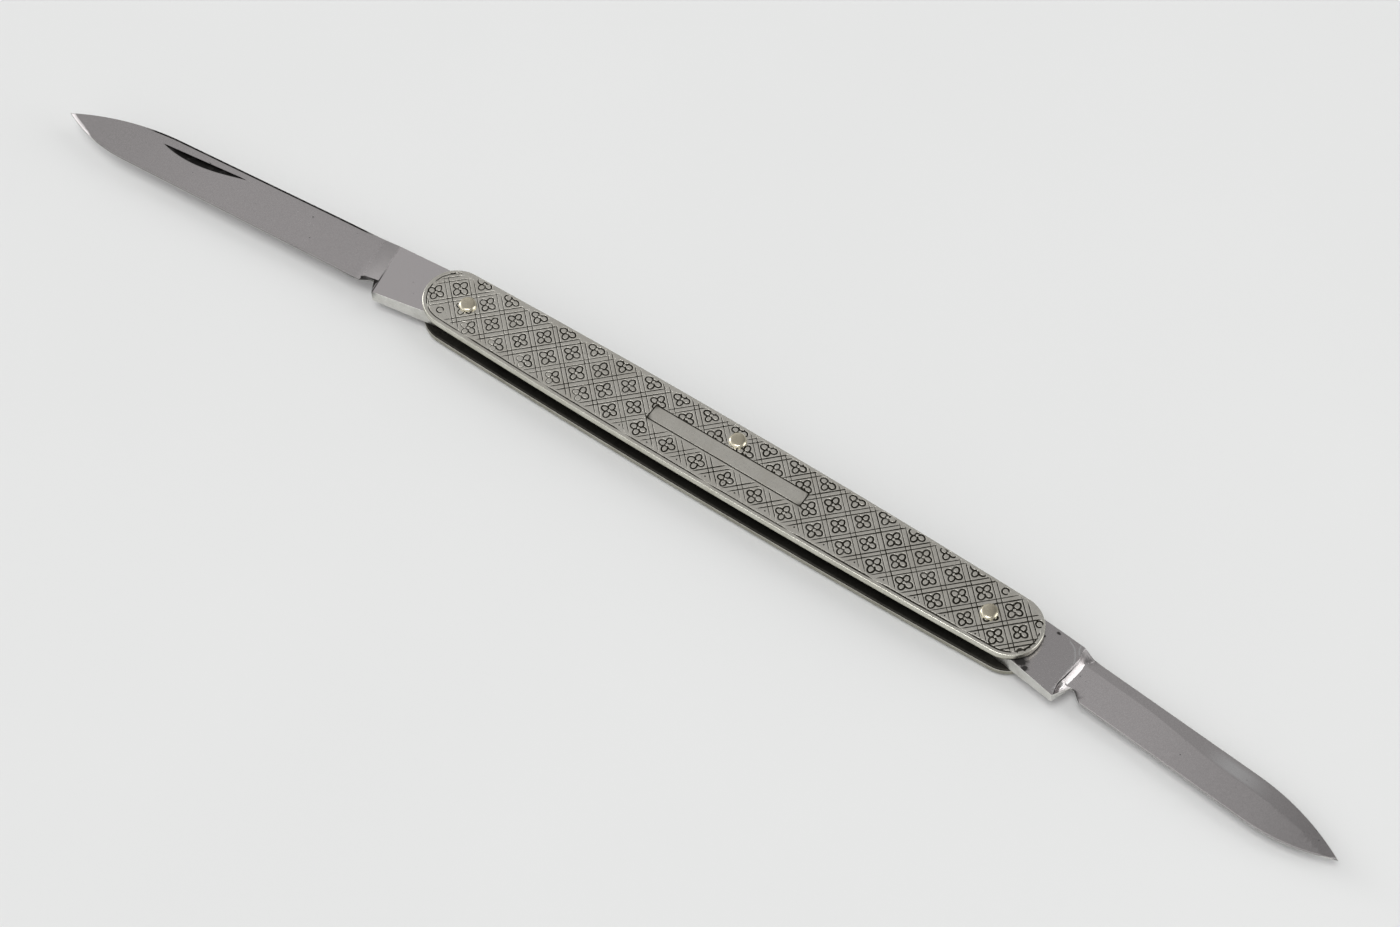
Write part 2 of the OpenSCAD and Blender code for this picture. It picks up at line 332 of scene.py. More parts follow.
@dataclass
class Relief:
    """Solid between two faces over one outline, with rounded rims and round holes.

    Attributes:
        outline: Counter-clockwise loop in millimetres.
        top: Upper face.
        bottom: Lower face.
        holes: Centre and radius of each round hole.
        curved: Shades the faces by their height's own slope, not as facets.
        hole_steps: Number of corners of a hole.
        points: Points made so far.
        faces: Numbers of each face's points.
        normals: Normal at each corner of each face.
        slots: Slot of each face's material.
        cut: Darkness at each point: dark oxide in the engraved cuts, painted shade on the blades.
        worn_and_sheen: How bright each point is made: rubbed places, painted sheen and highlights.
    """

    outline: list[Vector]
    top: Face
    bottom: Face
    holes: tuple[tuple[Vector, float], ...] = ()
    curved: bool = False
    hole_steps: int = 40
    points: list[Vector] = field(default_factory=list)
    faces: list[tuple[int, ...]] = field(default_factory=list)
    normals: list[list[Vector]] = field(default_factory=list)
    slots: list[int] = field(default_factory=list)
    cut: dict[int, float] = field(default_factory=dict)
    worn_and_sheen: dict[int, float] = field(default_factory=dict)

    def build(self, name: str, to_row: Matrix) -> bpy.types.Object:
        """Makes the mesh object.

        Args:
            name: Name of the piece.
            to_row: Turns millimetres in the relief's own axes into the row frame.

        Returns:
            The linked object, with its place in its mesh.
        """
        outer = [self._rings(face, sign) for face, sign in ((self.top, 1), (self.bottom, -1))]
        self._walls(outer[0][0], outer[1][0])
        bores = [self._bore(centre, radius) for centre, radius in self.holes]
        self._fill(self.top, 1, outer[0][-1], [b[0] for b in bores])
        self._fill(self.bottom, -1, outer[1][-1], [b[1] for b in bores])
        return self._mesh(name, to_row)

    def _add(self, x: float, y: float, z: float) -> int:
        """Adds a point and returns its number."""
        self.points.append(Vector((x, y, z)))
        return len(self.points) - 1

    def _face(self, corners: Sequence[int], normals: Sequence[Vector], slot: Material) -> None:
        """Adds a face with a normal for each corner.

        Args:
            corners: Numbers of its points.
            normals: Normal at each corner.
            slot: Slot of its material.
        """
        self.faces.append(tuple(corners))
        self.normals.append(list(normals))
        self.slots.append(slot.value)

    def _side_normals(self) -> list[tuple[Vector, Vector]]:
        """For each edge of the outline, the outward normal at its two ends.

        Returns:
            Both normals of each edge, shared with the neighbour where the outline is smooth.
        """
        normals = edge_normals(self.outline)
        count = len(normals)
        found = []
        for i, own in enumerate(normals):
            before, after = normals[i - 1], normals[(i + 1) % count]
            start = (own + before).normalized() if own.dot(before) > SMOOTH_EDGE else own
            end = (own + after).normalized() if own.dot(after) > SMOOTH_EDGE else own
            found.append((start, end))
        return found

    def _rings(self, face: Face, sign: int) -> list[list[int]]:
        """Rings of points that round a rim, from the wall in to the face.

        Args:
            face: The face that the rim belongs to.
            sign: 1 for the top and -1 for the bottom.

        Returns:
            Numbers of each ring's points.
        """
        rings = []
        for depth, drop in face.rim:
            loop = inset(self.outline, depth) if depth else self.outline
            ring = [self._add(p.x, p.y, face.height(p.x, p.y) - sign * drop) for p in loop]
            for i, p in zip(ring, loop):
                # rims are rubbed, and brightened with a painted sheen
                self.worn_and_sheen[i] = 0.0 if not drop else RUBBED_SHEEN if depth else RUBBED_SHEEN_WALL
                if face.darkness_at:
                    self.cut[i] = face.darkness_at(p.x, p.y)
            rings.append(ring)
        sides = self._side_normals()
        lift = [math.pi / 2 * k / (len(rings) - 1) for k in range(len(rings))]
        for k in range(len(rings) - 1):
            for i, (start, end) in enumerate(sides):
                j = (i + 1) % len(sides)
                corners = [rings[k][i], rings[k][j], rings[k + 1][j], rings[k + 1][i]]
                ways = [(start, lift[k]), (end, lift[k]), (end, lift[k + 1]), (start, lift[k + 1])]
                normals = [
                    Vector((n.x * math.cos(a), n.y * math.cos(a), sign * math.sin(a))) for n, a in ways
                ]
                if sign < 0:
                    corners.reverse()
                    normals.reverse()
                self._face(corners, normals, face.rim_material)
        return rings

    def _walls(self, upper: list[int], lower: list[int]) -> None:
        """Joins the outermost rings of the two faces.

        Args:
            upper: Numbers of the top ring's points.
            lower: Numbers of the bottom ring's points.
        """
        for i, (start, end) in enumerate(self._side_normals()):
            j = (i + 1) % len(upper)
            a, b = Vector((*start, 0)), Vector((*end, 0))
            self._face([lower[i], lower[j], upper[j], upper[i]], [a, b, b, a], Material.WALL)

    def _bore(self, centre: Vector, radius: float) -> tuple[list[int], list[int]]:
        """Wall of a round hole, and its rings on the two faces.

        Args:
            centre: Middle of the hole.
            radius: Radius of the hole.

        Returns:
            Numbers of the upper and the lower ring.
        """
        loop = arc(centre, radius, 0, 360, self.hole_steps)[:-1]
        upper = [self._add(p.x, p.y, self.top.height(p.x, p.y)) for p in loop]
        lower = [self._add(p.x, p.y, self.bottom.height(p.x, p.y)) for p in loop]
        inward = [Vector((*(centre - p).normalized(), 0)) for p in loop]
        for i in range(len(loop)):
            j = (i + 1) % len(loop)
            corners = [upper[i], upper[j], lower[j], lower[i]]
            self._face(corners, [inward[i], inward[j], inward[j], inward[i]], Material.WALL)
        return upper, lower

    def _fill(self, face: Face, sign: int, rim: list[int], bores: list[list[int]]) -> None:
        """Triangles of one face, folded along its creases.

        Args:
            face: The face.
            sign: 1 for the top and -1 for the bottom.
            rim: Numbers of the rim's inner ring.
            bores: Numbers of the ring of each hole.
        """
        known = list(rim) + [i for ring in bores for i in ring]
        flat = [self.points[i].xy for i in known]
        edges = []
        start = 0
        for ring in (rim, *bores):
            edges += [(start + i, start + (i + 1) % len(ring)) for i in range(len(ring))]
            start += len(ring)
        loops = [[self.points[i].xy for i in ring] for ring in (rim, *bores)]
        region = Region(loops[0], loops[1:])
        margin = Region(inset(loops[0], MARGIN), [self._grown(loop) for loop in loops[1:]])
        for line, whole in zip(face.creases, margin.whole(face.creases)):
            for run in [spaced(line, 1.0)] if whole else margin.clip(line, 1.0):
                edges += [(len(flat) + i, len(flat) + i + 1) for i in range(len(run) - 1)]
                flat += run
        if face.grid:
            flat += self._grid(margin, face.grid)
        spots, _, triangles, origins, _, _ = delaunay_2d_cdt(flat, edges, [], 0, 1e-5, True)
        number = {}
        for i, (spot, sources) in enumerate(zip(spots, origins)):
            kept = [s for s in sources if s < len(known)]
            number[i] = known[kept[0]] if kept else self._add(*spot, face.height(*spot))
            if face.darkness_at:
                self.cut[number[i]] = face.darkness_at(*spot)
            if face.brightness_at:
                self.worn_and_sheen[number[i]] = face.brightness_at(*spot)
        middles = np.array([[sum(spots[i][k] for i in t) / 3 for k in (0, 1)] for t in triangles])
        for triangle, inside in zip(triangles, region.mask(middles)):
            if not inside:
                continue
            corners = [number[i] for i in triangle]
            if len(set(corners)) < 3:
                continue
            a, b, c = (self.points[i] for i in corners)
            facet = (b - a).cross(c - a)
            if facet.length < 1e-12:
                facet = Vector((0, 0, 1))
            facet.normalize()
            if facet.z < 0:
                corners.reverse()
                facet = -facet
            thin = abs((b - a).xy.cross((c - a).xy)) < THIN
            normals = self._shading(face, corners, facet, thin) if self.curved else [facet] * 3
            if sign < 0:
                corners.reverse()
                normals = [-n for n in reversed(normals)]
            self._face(corners, normals, face.material)

    def _shading(self, face: Face, corners: Sequence[int], facet: Vector, thin: bool) -> list[Vector]:
        """Upward normals of a triangle's corners from the slope of the height inside it.

        Args:
            face: The face that it is part of.
            corners: Numbers of its points.
            facet: Its own upward normal.
            thin: Whether it is a sliver, whose own normal says little.

        Returns:
            Normal at each corner.
        """
        if facet.z < STEEP and not thin:
            return [facet] * 3
        a, b, c = (self.points[i] for i in corners)
        middle = (a + b + c) / 3
        found = []
        for corner in (a, b, c):
            spot = corner.lerp(middle, 0.12)
            dx = face.height(spot.x + PROBE, spot.y) - face.height(spot.x - PROBE, spot.y)
            dy = face.height(spot.x, spot.y + PROBE) - face.height(spot.x, spot.y - PROBE)
            normal = Vector((-dx, -dy, 2 * PROBE)).normalized()
            found.append(normal if thin or normal.dot(facet) > SMOOTH_FACE else facet)
        return found

    @staticmethod
    def _grown(loop: Sequence[Vector]) -> list[Vector]:
        """Loop of a bore, slightly larger."""
        middle = sum(loop, v2(0, 0)) / len(loop)
        return [middle + (p - middle) * 1.04 for p in loop]

    @staticmethod
    def _grid(region: Region, step: float) -> list[Vector]:
        """Points of a square grid that lie in a region.

        Args:
            region: The region.
            step: Distance between two points.

        Returns:
            The points.
        """
        low, high = region.loops[0].min(0), region.loops[0].max(0)
        xs = np.arange(low[0] + step / 2, high[0], step)
        ys = np.arange(low[1] + step / 2, high[1], step)
        spots = np.array([(x, y) for x in xs for y in ys])
        return [v2(*p) for p in spots[region.mask(spots)]]

    def _mesh(self, name: str, to_row: Matrix) -> bpy.types.Object:
        """Mesh object from the gathered points and faces.

        Args:
            name: Name of the piece.
            to_row: Turns the relief's own axes into the row frame.

        Returns:
            The linked object.
        """
        flips = to_row.determinant() < 0
        turn = to_row.to_3x3()
        mesh = bpy.data.meshes.new(name)
        points = [to_row @ p * MM for p in self.points]
        faces = [tuple(reversed(f)) for f in self.faces] if flips else self.faces
        mesh.from_pydata(points, [], faces)
        mesh.polygons.foreach_set("material_index", self.slots)
        mesh.shade_smooth()
        for label, values in ((DARKNESS, self.cut), (BRIGHTNESS, self.worn_and_sheen)):
            layer = mesh.attributes.new(label, "FLOAT", "POINT")
            layer.data.foreach_set("value", [values.get(i, 0.0) for i in range(len(points))])
        normals = []
        for corners in self.normals:
            normals += reversed(corners) if flips else corners
        mesh.normals_split_custom_set([tuple((turn @ n).normalized()) for n in normals])
        mesh.update()
        return linked(name, mesh)


@dataclass(frozen=True)
class Handle:
    """Sizes that the plates, the spring and the pins share, as in the CAD.

    Attributes:
        half_l: Half the length.
        half_w: Half the width at the middle.
        end_r: Radius of the rounded ends.
        axis_y: Middle line of the handle in the row frame.
        master: Pivot of the master blade.
        pen: Pivot of the pen blade.
        middle: Centre of the spring pin.
        mid_z: Height of the slot's middle.
        bore_r: Radius of the pins' bores.
    """

    half_l: float = 40.0
    half_w: float = 4.3
    end_r: float = 3.75
    axis_y: float = -2.4
    master: Point = (-34.6, -2.4)
    pen: Point = (33.7, -2.4)
    middle: Point = (0.0, 0.0)
    mid_z: float = 2.55
    bore_r: float = 0.71

    @property
    def end_x(self) -> float:
        """Centre of a rounded end."""
        return self.half_l - self.end_r

    @property
    def side_r(self) -> float:
        """Radius of the two long sides."""
        rise = self.half_w - self.end_r
        return (self.end_x**2 + rise**2) / (2 * rise)

    @property
    def pins(self) -> tuple[Point, Point, Point]:
        """Centres of the three pins."""
        return self.master, self.middle, self.pen

    def side_y(self, x: float) -> float:
        """Half width of the handle at x."""
        return self.half_w - self.side_r + math.sqrt(self.side_r**2 - x * x)

    def side(self, start: float, end: float, count: int) -> list[Vector]:
        """Points of the back edge between two x values."""
        xs = (start + (end - start) * i / count for i in range(count + 1))
        return [v2(x, self.axis_y + self.side_y(x)) for x in xs]

    def outline(self) -> list[Vector]:
        """Counter-clockwise loop of the handle.

        Returns:
            Points of the loop, from the right end on.
        """
        right, left = v2(self.end_x, self.axis_y), v2(-self.end_x, self.axis_y)
        back = self.side(self.end_x, -self.end_x, 60)
        front = [v2(-p.x, 2 * self.axis_y - p.y) for p in back]
        ends = [arc(right, self.end_r, -90, 90, 28)[1:-1], arc(left, self.end_r, 90, 270, 28)[1:-1]]
        return ends[0] + back + ends[1] + front

    def holes(self) -> tuple[tuple[Vector, float], ...]:
        """Bores of the three pins."""
        return tuple((v2(*pin), self.bore_r) for pin in self.pins)


HANDLE = Handle()


@dataclass(frozen=True)
class Cut:
    """One burin cut: its centre line, half width at each point, depth and darkness.

    Attributes:
        line: Points of the centre line.
        half: Half the width at each point.
        depth: Greatest depth.
        tone: How dark it is, up to 1.
        closed: Whether it runs back to its start.
    """

    line: tuple[Vector, ...]
    half: tuple[float, ...]
    depth: float
    tone: float
    closed: bool = False

    def sides(self) -> list[list[Vector]]:
        """The two borders of the cut.

        Returns:
            Points of the left border and of the right one.
        """
        found = []
        count = len(self.line)
        for sign in (1, -1):
            side = []
            for i, point in enumerate(self.line):
                if self.closed:
                    along = self.line[(i + 1) % count] - self.line[i - 1]
                else:
                    along = self.line[min(i + 1, count - 1)] - self.line[max(i - 1, 0)]
                along.normalize()
                side.append(point + v2(-along.y, along.x) * self.half[i] * sign)
            found.append(side)
        return found

    def creases(self) -> list[list[Vector]]:
        """The lines along which the cut folds the surface."""
        lines = [list(self.line), *self.sides()]
        return [line + [line[0]] for line in lines] if self.closed else lines


@dataclass(frozen=True)
class Lattice:
    """Square lattice of the engraved diaper, whose unit is the distance between two cells.

    Attributes:
        unit: That distance in millimetres.
        origin: Place in cells that falls on the middle of the handle.
        turn: Angle in degrees between its rows and the handle.
    """

    unit: float = 3.8095
    origin: Point = (6.61, 0.59)
    turn: float = 0.3

    def at(self, x: float, y: float) -> Vector:
        """Place in the row frame of a point of the lattice."""
        return turned(x - self.origin[0], y - self.origin[1], self.turn) * self.unit + v2(0, HANDLE.axis_y)


@dataclass
class Engraving:
    """Diaper of double lines with a quatrefoil in each cell, a border and a plain cartouche.

    Attributes:
        seed: Start of the small irregularities of the hand work.
        lattice: Where the cells stand.
        line_gap: Distance between the two lines of the diaper, in cells.
        petal: Radius of a petal, in cells.
        long: Length of a petal, as a share of a round one.
        slim: Width of a petal, as a share of a round one.
        reach: Distance of a petal's middle from the cell's middle.
        eye: Radius of the ring in the middle.
        width: Half width of a heavy cut in millimetres.
        fine: Half width of a light cut.
        depth: Depth of a heavy cut.
        heavier: Growth of the cuts for each millimetre to the right.
        head_r: Radius that stays plain under a pin's head.
        border_in: Distance of the border line from the outline.
        field_in: Distance of the cuts from the outline.
        inner_in: Distance of the diaper from the outline at the left end.
        border_ends: Where the border line ends at the right and at the left.
        ticks: Number of ticks round the left end.
        tick_from: Direction of the first one in degrees.
        tick_step: Angle between two.
        tick_out: Distance of their outer ends from the end's centre.
        tick_in: Distance of their inner ends.
        tick_lean: Angle between the two ends of a tick.
        rows: Rows of cells.
        row_low: Row at which the diaper's lines start.
        row_step: Distance of the points on them.
        cartouche: Left, front, right and back of the plain panel, in cells.
        bare: Cells that stay empty or that a punch fills.
        punches: Place of each ring punch, in cells.
        punch_r: Its radius, in cells.
        dot_r: Radius of a dot's middle line in millimetres.
        dot_half: Half the width of that line.
        cuts: Every cut, as it is laid out.
    """

    seed: int
    lattice: Lattice = Lattice()
    line_gap: float = 0.135
    petal: float = 0.09
    long: float = 1.28
    slim: float = 1.0
    reach: float = 0.137
    eye: float = 0.062
    width: float = 0.129
    fine: float = 0.082
    depth: float = 0.0635
    heavier: float = 0.003
    head_r: float = 0.86
    border_in: float = 0.5
    field_in: float = 0.22
    inner_in: float = 0.62
    border_ends: tuple[Point, Point] = ((37.6, -1.0), (-36.8, 0.6))
    ticks: int = 11
    tick_from: float = 118.0
    tick_step: float = 11.0
    tick_out: float = 3.1
    tick_in: float = 2.55
    tick_lean: float = 5.0
    rows: tuple[float, ...] = (0.0, 0.5, 1.0, 1.5)
    row_low: float = -0.36
    row_step: float = 0.26
    cartouche: tuple[float, float, float, float] = (4.01, 0.42, 9.245, 0.917)
    bare: tuple[Point, ...] = ((-3.0, 0.0), (15.5, 1.5), (16.5, 1.5), (17.0, 1.0))
    punches: tuple[Point, ...] = ((-3.05, 0.06), (15.48, 1.36), (16.8, 1.0))
    punch_r: float = 0.1
    dot_r: float = 0.065
    dot_half: float = 0.06
    cuts: list[Cut] = field(default_factory=list)

    def __post_init__(self) -> None:
        """Lays out every cut."""
        self.dice = random.Random(self.seed)
        outline = HANDLE.outline()
        heads = [arc(v2(*pin), self.head_r, 0, 360, 24)[:-1] for pin in HANDLE.pins]
        x0, y0, x1, y1 = self.cartouche
        plate = [self.lattice.at(*p) for p in ((x0, y0), (x1, y0), (x1, y1), (x0, y1))]
        self.band = inset(outline, self.border_in)
        self.field = Region(inset(outline, self.field_in), [*heads, plate])
        self.inner = Region(inset(outline, self.inner_in), [*heads, plate])
        self._cartouche(plate)
        self._border()
        self._diaper()
        self._cells()
        self._punches()
        self.bins: dict[tuple[int, int], list[tuple]] = {}
        self.known: dict[Point, tuple[float, float]] = {}
        self._sort()

    def _jitter(self, amount: float) -> float:
        """Small error of the hand."""
        return self.dice.uniform(-amount, amount)

    def _add(self, line: Sequence[Vector], half: float, tone: float, closed: bool = False) -> None:
        """Keeps one cut, with its ends drawn to a point unless it is closed.

        Args:
            line: Points of its middle.
            half: Half its width.
            tone: How dark it is, up to 1.
            closed: Whether it runs back to its start.
        """
        points = list(line)
        if closed:
            widths = [half] * len(points)
        else:
            lengths = [0.0]
            for a, b in zip(points, points[1:]):
                lengths.append(lengths[-1] + (b - a).length)
            total = lengths[-1]
            if total < 0.12:
                return
            taper = min(0.22, total * 0.4)
            widths = [half * (0.12 + 0.88 * min(1.0, min(s, total - s) / taper)) for s in lengths]
        strength = 1 + self.heavier * points[0].x
        widths = [w * strength for w in widths]
        depth = self.depth * strength * half / self.width
        self.cuts.append(Cut(tuple(points), tuple(widths), depth, min(1.0, tone * strength), closed))

    def _stroke(
        self, line: Sequence[Vector], half: float, tone: float, region: Region, step: float
    ) -> None:
        """Clips a line to a region and keeps each run as a cut."""
        for run in region.clip(line, step):
            self._add(run, half, tone)

    def _cartouche(self, plate: list[Vector]) -> None:
        """Line round the plain cartouche."""
        self._add(spaced(plate, 1.2, closed=True), self.fine * 1.3, 1.0, closed=True)

    def _border(self) -> None:
        """Line inside the front edge and round the ends, and the ticks at the left end."""
        count = len(self.band)
        right, left = self.border_ends
        start = next(i for i, p in enumerate(self.band) if p.x > right[0] and p.y > right[1])
        end = next(i for i, p in enumerate(self.band) if p.x < left[0] and p.y < left[1])
        run = [self.band[i % count] for i in range(end, count + start)]
        wobbly = [p + v2(self._jitter(0.015), self._jitter(0.015)) for p in spaced(run, 1.6)]
        for i in range(0, len(wobbly) - 1, 9):
            half = self.fine * self.dice.uniform(1.15, 1.6)
            self._add(wobbly[i : i + 10], half, self.dice.uniform(0.85, 1.0))
        centre = v2(-HANDLE.end_x, HANDLE.axis_y)
        for k in range(self.ticks):
            angle = self.tick_from + k * self.tick_step + self._jitter(2)
            far = centre + turned(self.tick_out, 0, angle)
            near = centre + turned(self.tick_in + self._jitter(0.15), 0, angle + self.tick_lean)
            self._add([far, near], self.fine * 0.8, self.dice.uniform(0.4, 0.9))

    def _diaper(self) -> None:
        """Double lines at 45 degrees both ways."""
        for k in range(-7, 20):
            for slope in (1, -1):
                for offset in (self.line_gap / 2, -self.line_gap / 2):
                    shift = k + 0.5 + offset * math.sqrt(2) + self._jitter(0.012)
                    ys = [self.row_low + self.row_step * i for i in range(9)]
                    line = [self.lattice.at(shift + slope * y + self._jitter(0.004), y) for y in ys]
                    tone = self.dice.uniform(0.75, 1.0) * (1.0 if slope > 0 else 0.85)
                    half = self.fine * self.dice.uniform(0.85, 1.2) * (1.1 if slope > 0 else 0.9)
                    self._stroke(line, half, min(1.0, tone), self.inner if k < 3 else self.field, 1.0)

    def _cells(self) -> None:
        """A quatrefoil in each cell that the cartouche leaves free."""
        x0, y0, x1, y1 = self.cartouche
        for row, y in enumerate(self.rows):
            for m in range(-4, 18):
                x = m + 0.5 * (row % 2)
                if x0 < x < x1 and y0 < y < y1:
                    continue
                if (x, y) in self.bare:
                    continue
                self._quatrefoil(x, y)

    def _quatrefoil(self, x: float, y: float) -> None:
        """Four petals round a small ring, more lightly cut in the left part of the front row.

        Args:
            x: Column of the cell.
            y: Row of the cell.
        """
        x += self._jitter(0.014)
        y += self._jitter(0.014)
        turn = self._jitter(7)
        size = 1 + self._jitter(0.05)
        light = y < 0.1 and x < 2.6
        for quarter in range(4):
            angle = turn + 90 * quarter
            centre = v2(x, y) + turned(self.reach * size, 0, angle)
            radius = self.petal * size * (1 + self._jitter(0.07))
            loop = [
                centre + turned(radius * self.long * math.cos(a), radius * self.slim * math.sin(a), angle)
                for a in (math.radians(-172 + 344 * i / 16) for i in range(17))
            ]
            faint = light and quarter in (2, 3)
            tone = self.dice.uniform(0.35, 0.6) if faint else self.dice.uniform(0.85, 1.0)
            half = self.width * (0.7 if faint else self.dice.uniform(0.9, 1.1))
            self._stroke([self.lattice.at(*p) for p in loop], half, tone, self.field, 0.5)
        ring = [self.lattice.at(*p) for p in arc(v2(x, y), self.eye * size, 0, 360, 12)]
        self._stroke(ring, self.width * 0.7, 0.8, self.field, 0.5)

    def _punches(self) -> None:
        """Ring punches at the ends and dots along the front border."""
        for spot in self.punches:
            loop = [self.lattice.at(*p) for p in arc(v2(*spot), self.punch_r, 0, 360, 16)]
            self._stroke(loop, self.width * 0.9, 0.95, self.field, 0.5)
        for m in range(3, 16):
            spot = self.lattice.at(m + 0.5 + self._jitter(0.02), -0.24 + self._jitter(0.02))
            if self.field.holds(spot):
                ring = arc(spot, self.dot_r, 0, 360, 6)[:-1]
                self._add(ring, self.dot_half, 1.0, closed=True)

    def _sort(self) -> None:
        """Files the pieces of the cuts by place, to find them quickly."""
        for cut in self.cuts:
            count = len(cut.line)
            for i in range(count if cut.closed else count - 1):
                j = (i + 1) % count
                a, b = cut.line[i], cut.line[j]
                piece = (a.x, a.y, b.x, b.y, cut.half[i], cut.half[j], cut.depth, cut.tone, max(cut.half))
                xs, ys = (
                    range(math.floor(min(p, q) - 0.2), math.floor(max(p, q) + 0.2) + 1)
                    for p, q in zip(a, b)
                )
                for spot in ((bx, by) for bx in xs for by in ys):
                    self.bins.setdefault(spot, []).append(piece)

    def sample(self, x: float, y: float) -> tuple[float, float]:
        """Depth of the engraving at a point, and how dark it is there.

        Args:
            x: Place along the handle.
            y: Place across it.

        Returns:
            Depth in millimetres and darkness from 0 to 1.
        """
        if (x, y) in self.known:
            return self.known[x, y]
        deep, dark = 0.0, 0.0
        near = self.bins.get((math.floor(x), math.floor(y)), ())
        for ax, ay, bx, by, ha, hb, depth, tone, widest in near:
            dx, dy = bx - ax, by - ay
            t = min(1.0, max(0.0, ((x - ax) * dx + (y - ay) * dy) / (dx * dx + dy * dy + 1e-12)))
            half = ha + (hb - ha) * t
            share = 1 - math.hypot(x - ax - dx * t, y - ay - dy * t) / half
            if share > 0:
                share *= half / widest
                deep = max(deep, share * depth)
                dark = max(dark, share * tone)
        self.known[x, y] = deep, dark
        return deep, dark

    def creases(self) -> list[list[Vector]]:
        """Every line that the engraving folds the plate along."""
        return [line for cut in self.cuts for line in cut.creases()]


@dataclass(frozen=True)
class Metal:
    """Finish of one metal surface.

    Attributes:
        name: Name of the material.
        colour: Clean metal.
        tarnish: Colour of the metal where it has dulled.
        dulled: Share of the surface that has dulled.
        roughness: Roughness of the clean metal.
        rough_span: How far the roughness varies.
        grain: Fineness of the grain along x, y and z, per millimetre.
        grain_height: Height of the grain in millimetres.
        fine_height: Height of the finer unevenness in millimetres.
        patina_and_shade: Colour where a mesh is dark, or None: dark oxide in the engraved cuts, painted
            shade on the blades.
        filled: Depth share from which a cut is fully dark.
        haze: Strength of the wide soft clouds.
        polish_and_sheen: Brightness of rubbed places and of painted highlights against the clean metal.
        fade: Two places along x and how much darker the metal is at the second one, or None.
        worn_and_sheen: Roughness on rubbed rims and on painted highlights.
        turn: Angle of the grain in degrees.
        spots: Place and half sizes of each stain and of each patch of painted shade.
        origin: Point that the grain and the stains are placed from.
    """

    name: str
    colour: Triple
    tarnish: Triple
    dulled: float
    roughness: float
    rough_span: float
    grain: Triple
    grain_height: float
    fine_height: float = 0.0015
    patina_and_shade: Triple | None = None
    filled: float = 0.36
    haze: float = 0.2
    polish_and_sheen: float = 1.28
    fade: Triple | None = None
    worn_and_sheen: float = 0.2
    turn: float = 0.0
    spots: tuple[Patch, ...] = ()
    origin: Point = (0.0, 0.0)


SCALE = Metal("engraved_nickel_silver", (0.765, 0.74, 0.675), (0.54, 0.51, 0.45), 0.4, 0.3, 0.08,
              (1.2, 7.0, 4.0), 0.0012, patina_and_shade=(0.022, 0.020, 0.015), worn_and_sheen=0.2)
LINER = Metal("liner_nickel_silver", (0.76, 0.74, 0.68), (0.40, 0.385, 0.32), 0.6, 0.32, 0.12,
              (0.8, 6.0, 14.0), 0.002, worn_and_sheen=0.25)
# Front scale walls: darker copy of the scale metal, painted shade.
FRONT_EDGE = Metal("front_edges", (0.655, 0.645, 0.575), (0.40, 0.38, 0.30), 0.45, 0.32, 0.1,
                   (7.0, 7.0, 0.9), 0.003, worn_and_sheen=0.2)
# Front liner walls: darker copy of the liner metal, painted shade; its right-end patches are painted shade
# and dirt.
LINER_EDGE = Metal("front_liner_edges", (0.55, 0.54, 0.46), (0.30, 0.285, 0.22), 0.5, 0.34, 0.1,
                   (7.0, 7.0, 0.9), 0.003, worn_and_sheen=0.2, spots=((38.4, -5.0, 1.9, 1.3), (39.9, -2.6, 0.6, 1.4)))
# Rear liner walls: darker copy of the liner metal, painted shade near the floor.
REAR_LINER_EDGE = Metal("rear_liner_edges", (0.68, 0.665, 0.60), (0.40, 0.385, 0.31), 0.5, 0.36, 0.1,
                        (6.0, 6.0, 0.7), 0.006, worn_and_sheen=0.3)
# Rear scale walls: much darker copy of the scale metal, painted shade near the floor.
REAR_EDGE = Metal("rear_edges", (0.42, 0.41, 0.35), (0.22, 0.21, 0.16), 0.6, 0.38, 0.1,
                  (6.0, 6.0, 0.7), 0.006, worn_and_sheen=0.3)
# Blade walls: their dark colour is painted shade, next to the painted shade of the blades' faces.
TANG_EDGE = Metal("filed_tang_edges", (0.70, 0.695, 0.66), (0.46, 0.45, 0.41), 0.45, 0.34, 0.1,
                  (5.0, 5.0, 1.6), 0.006, patina_and_shade=(0.12, 0.118, 0.115), worn_and_sheen=0.25)
# Liner faces towards the slot: near black, dirt and painted shade.
GRIME_AND_SHADE = Metal("slot_grime_and_shade", (0.045, 0.043, 0.037), (0.014, 0.013, 0.011), 0.5, 0.6, 0.15,
              (0.8, 3.0, 3.0), 0.002, worn_and_sheen=0.5)
SPRING = Metal("spring_steel", (0.42, 0.415, 0.41), (0.16, 0.145, 0.12), 0.4, 0.36, 0.12,
               (0.6, 5.0, 9.0), 0.002, worn_and_sheen=0.25)
BRASS = Metal("pale_pin_metal", (0.78, 0.72, 0.575), (0.50, 0.44, 0.31), 0.5, 0.2, 0.1,
              (3.0, 3.0, 3.0), 0.004, worn_and_sheen=0.15)


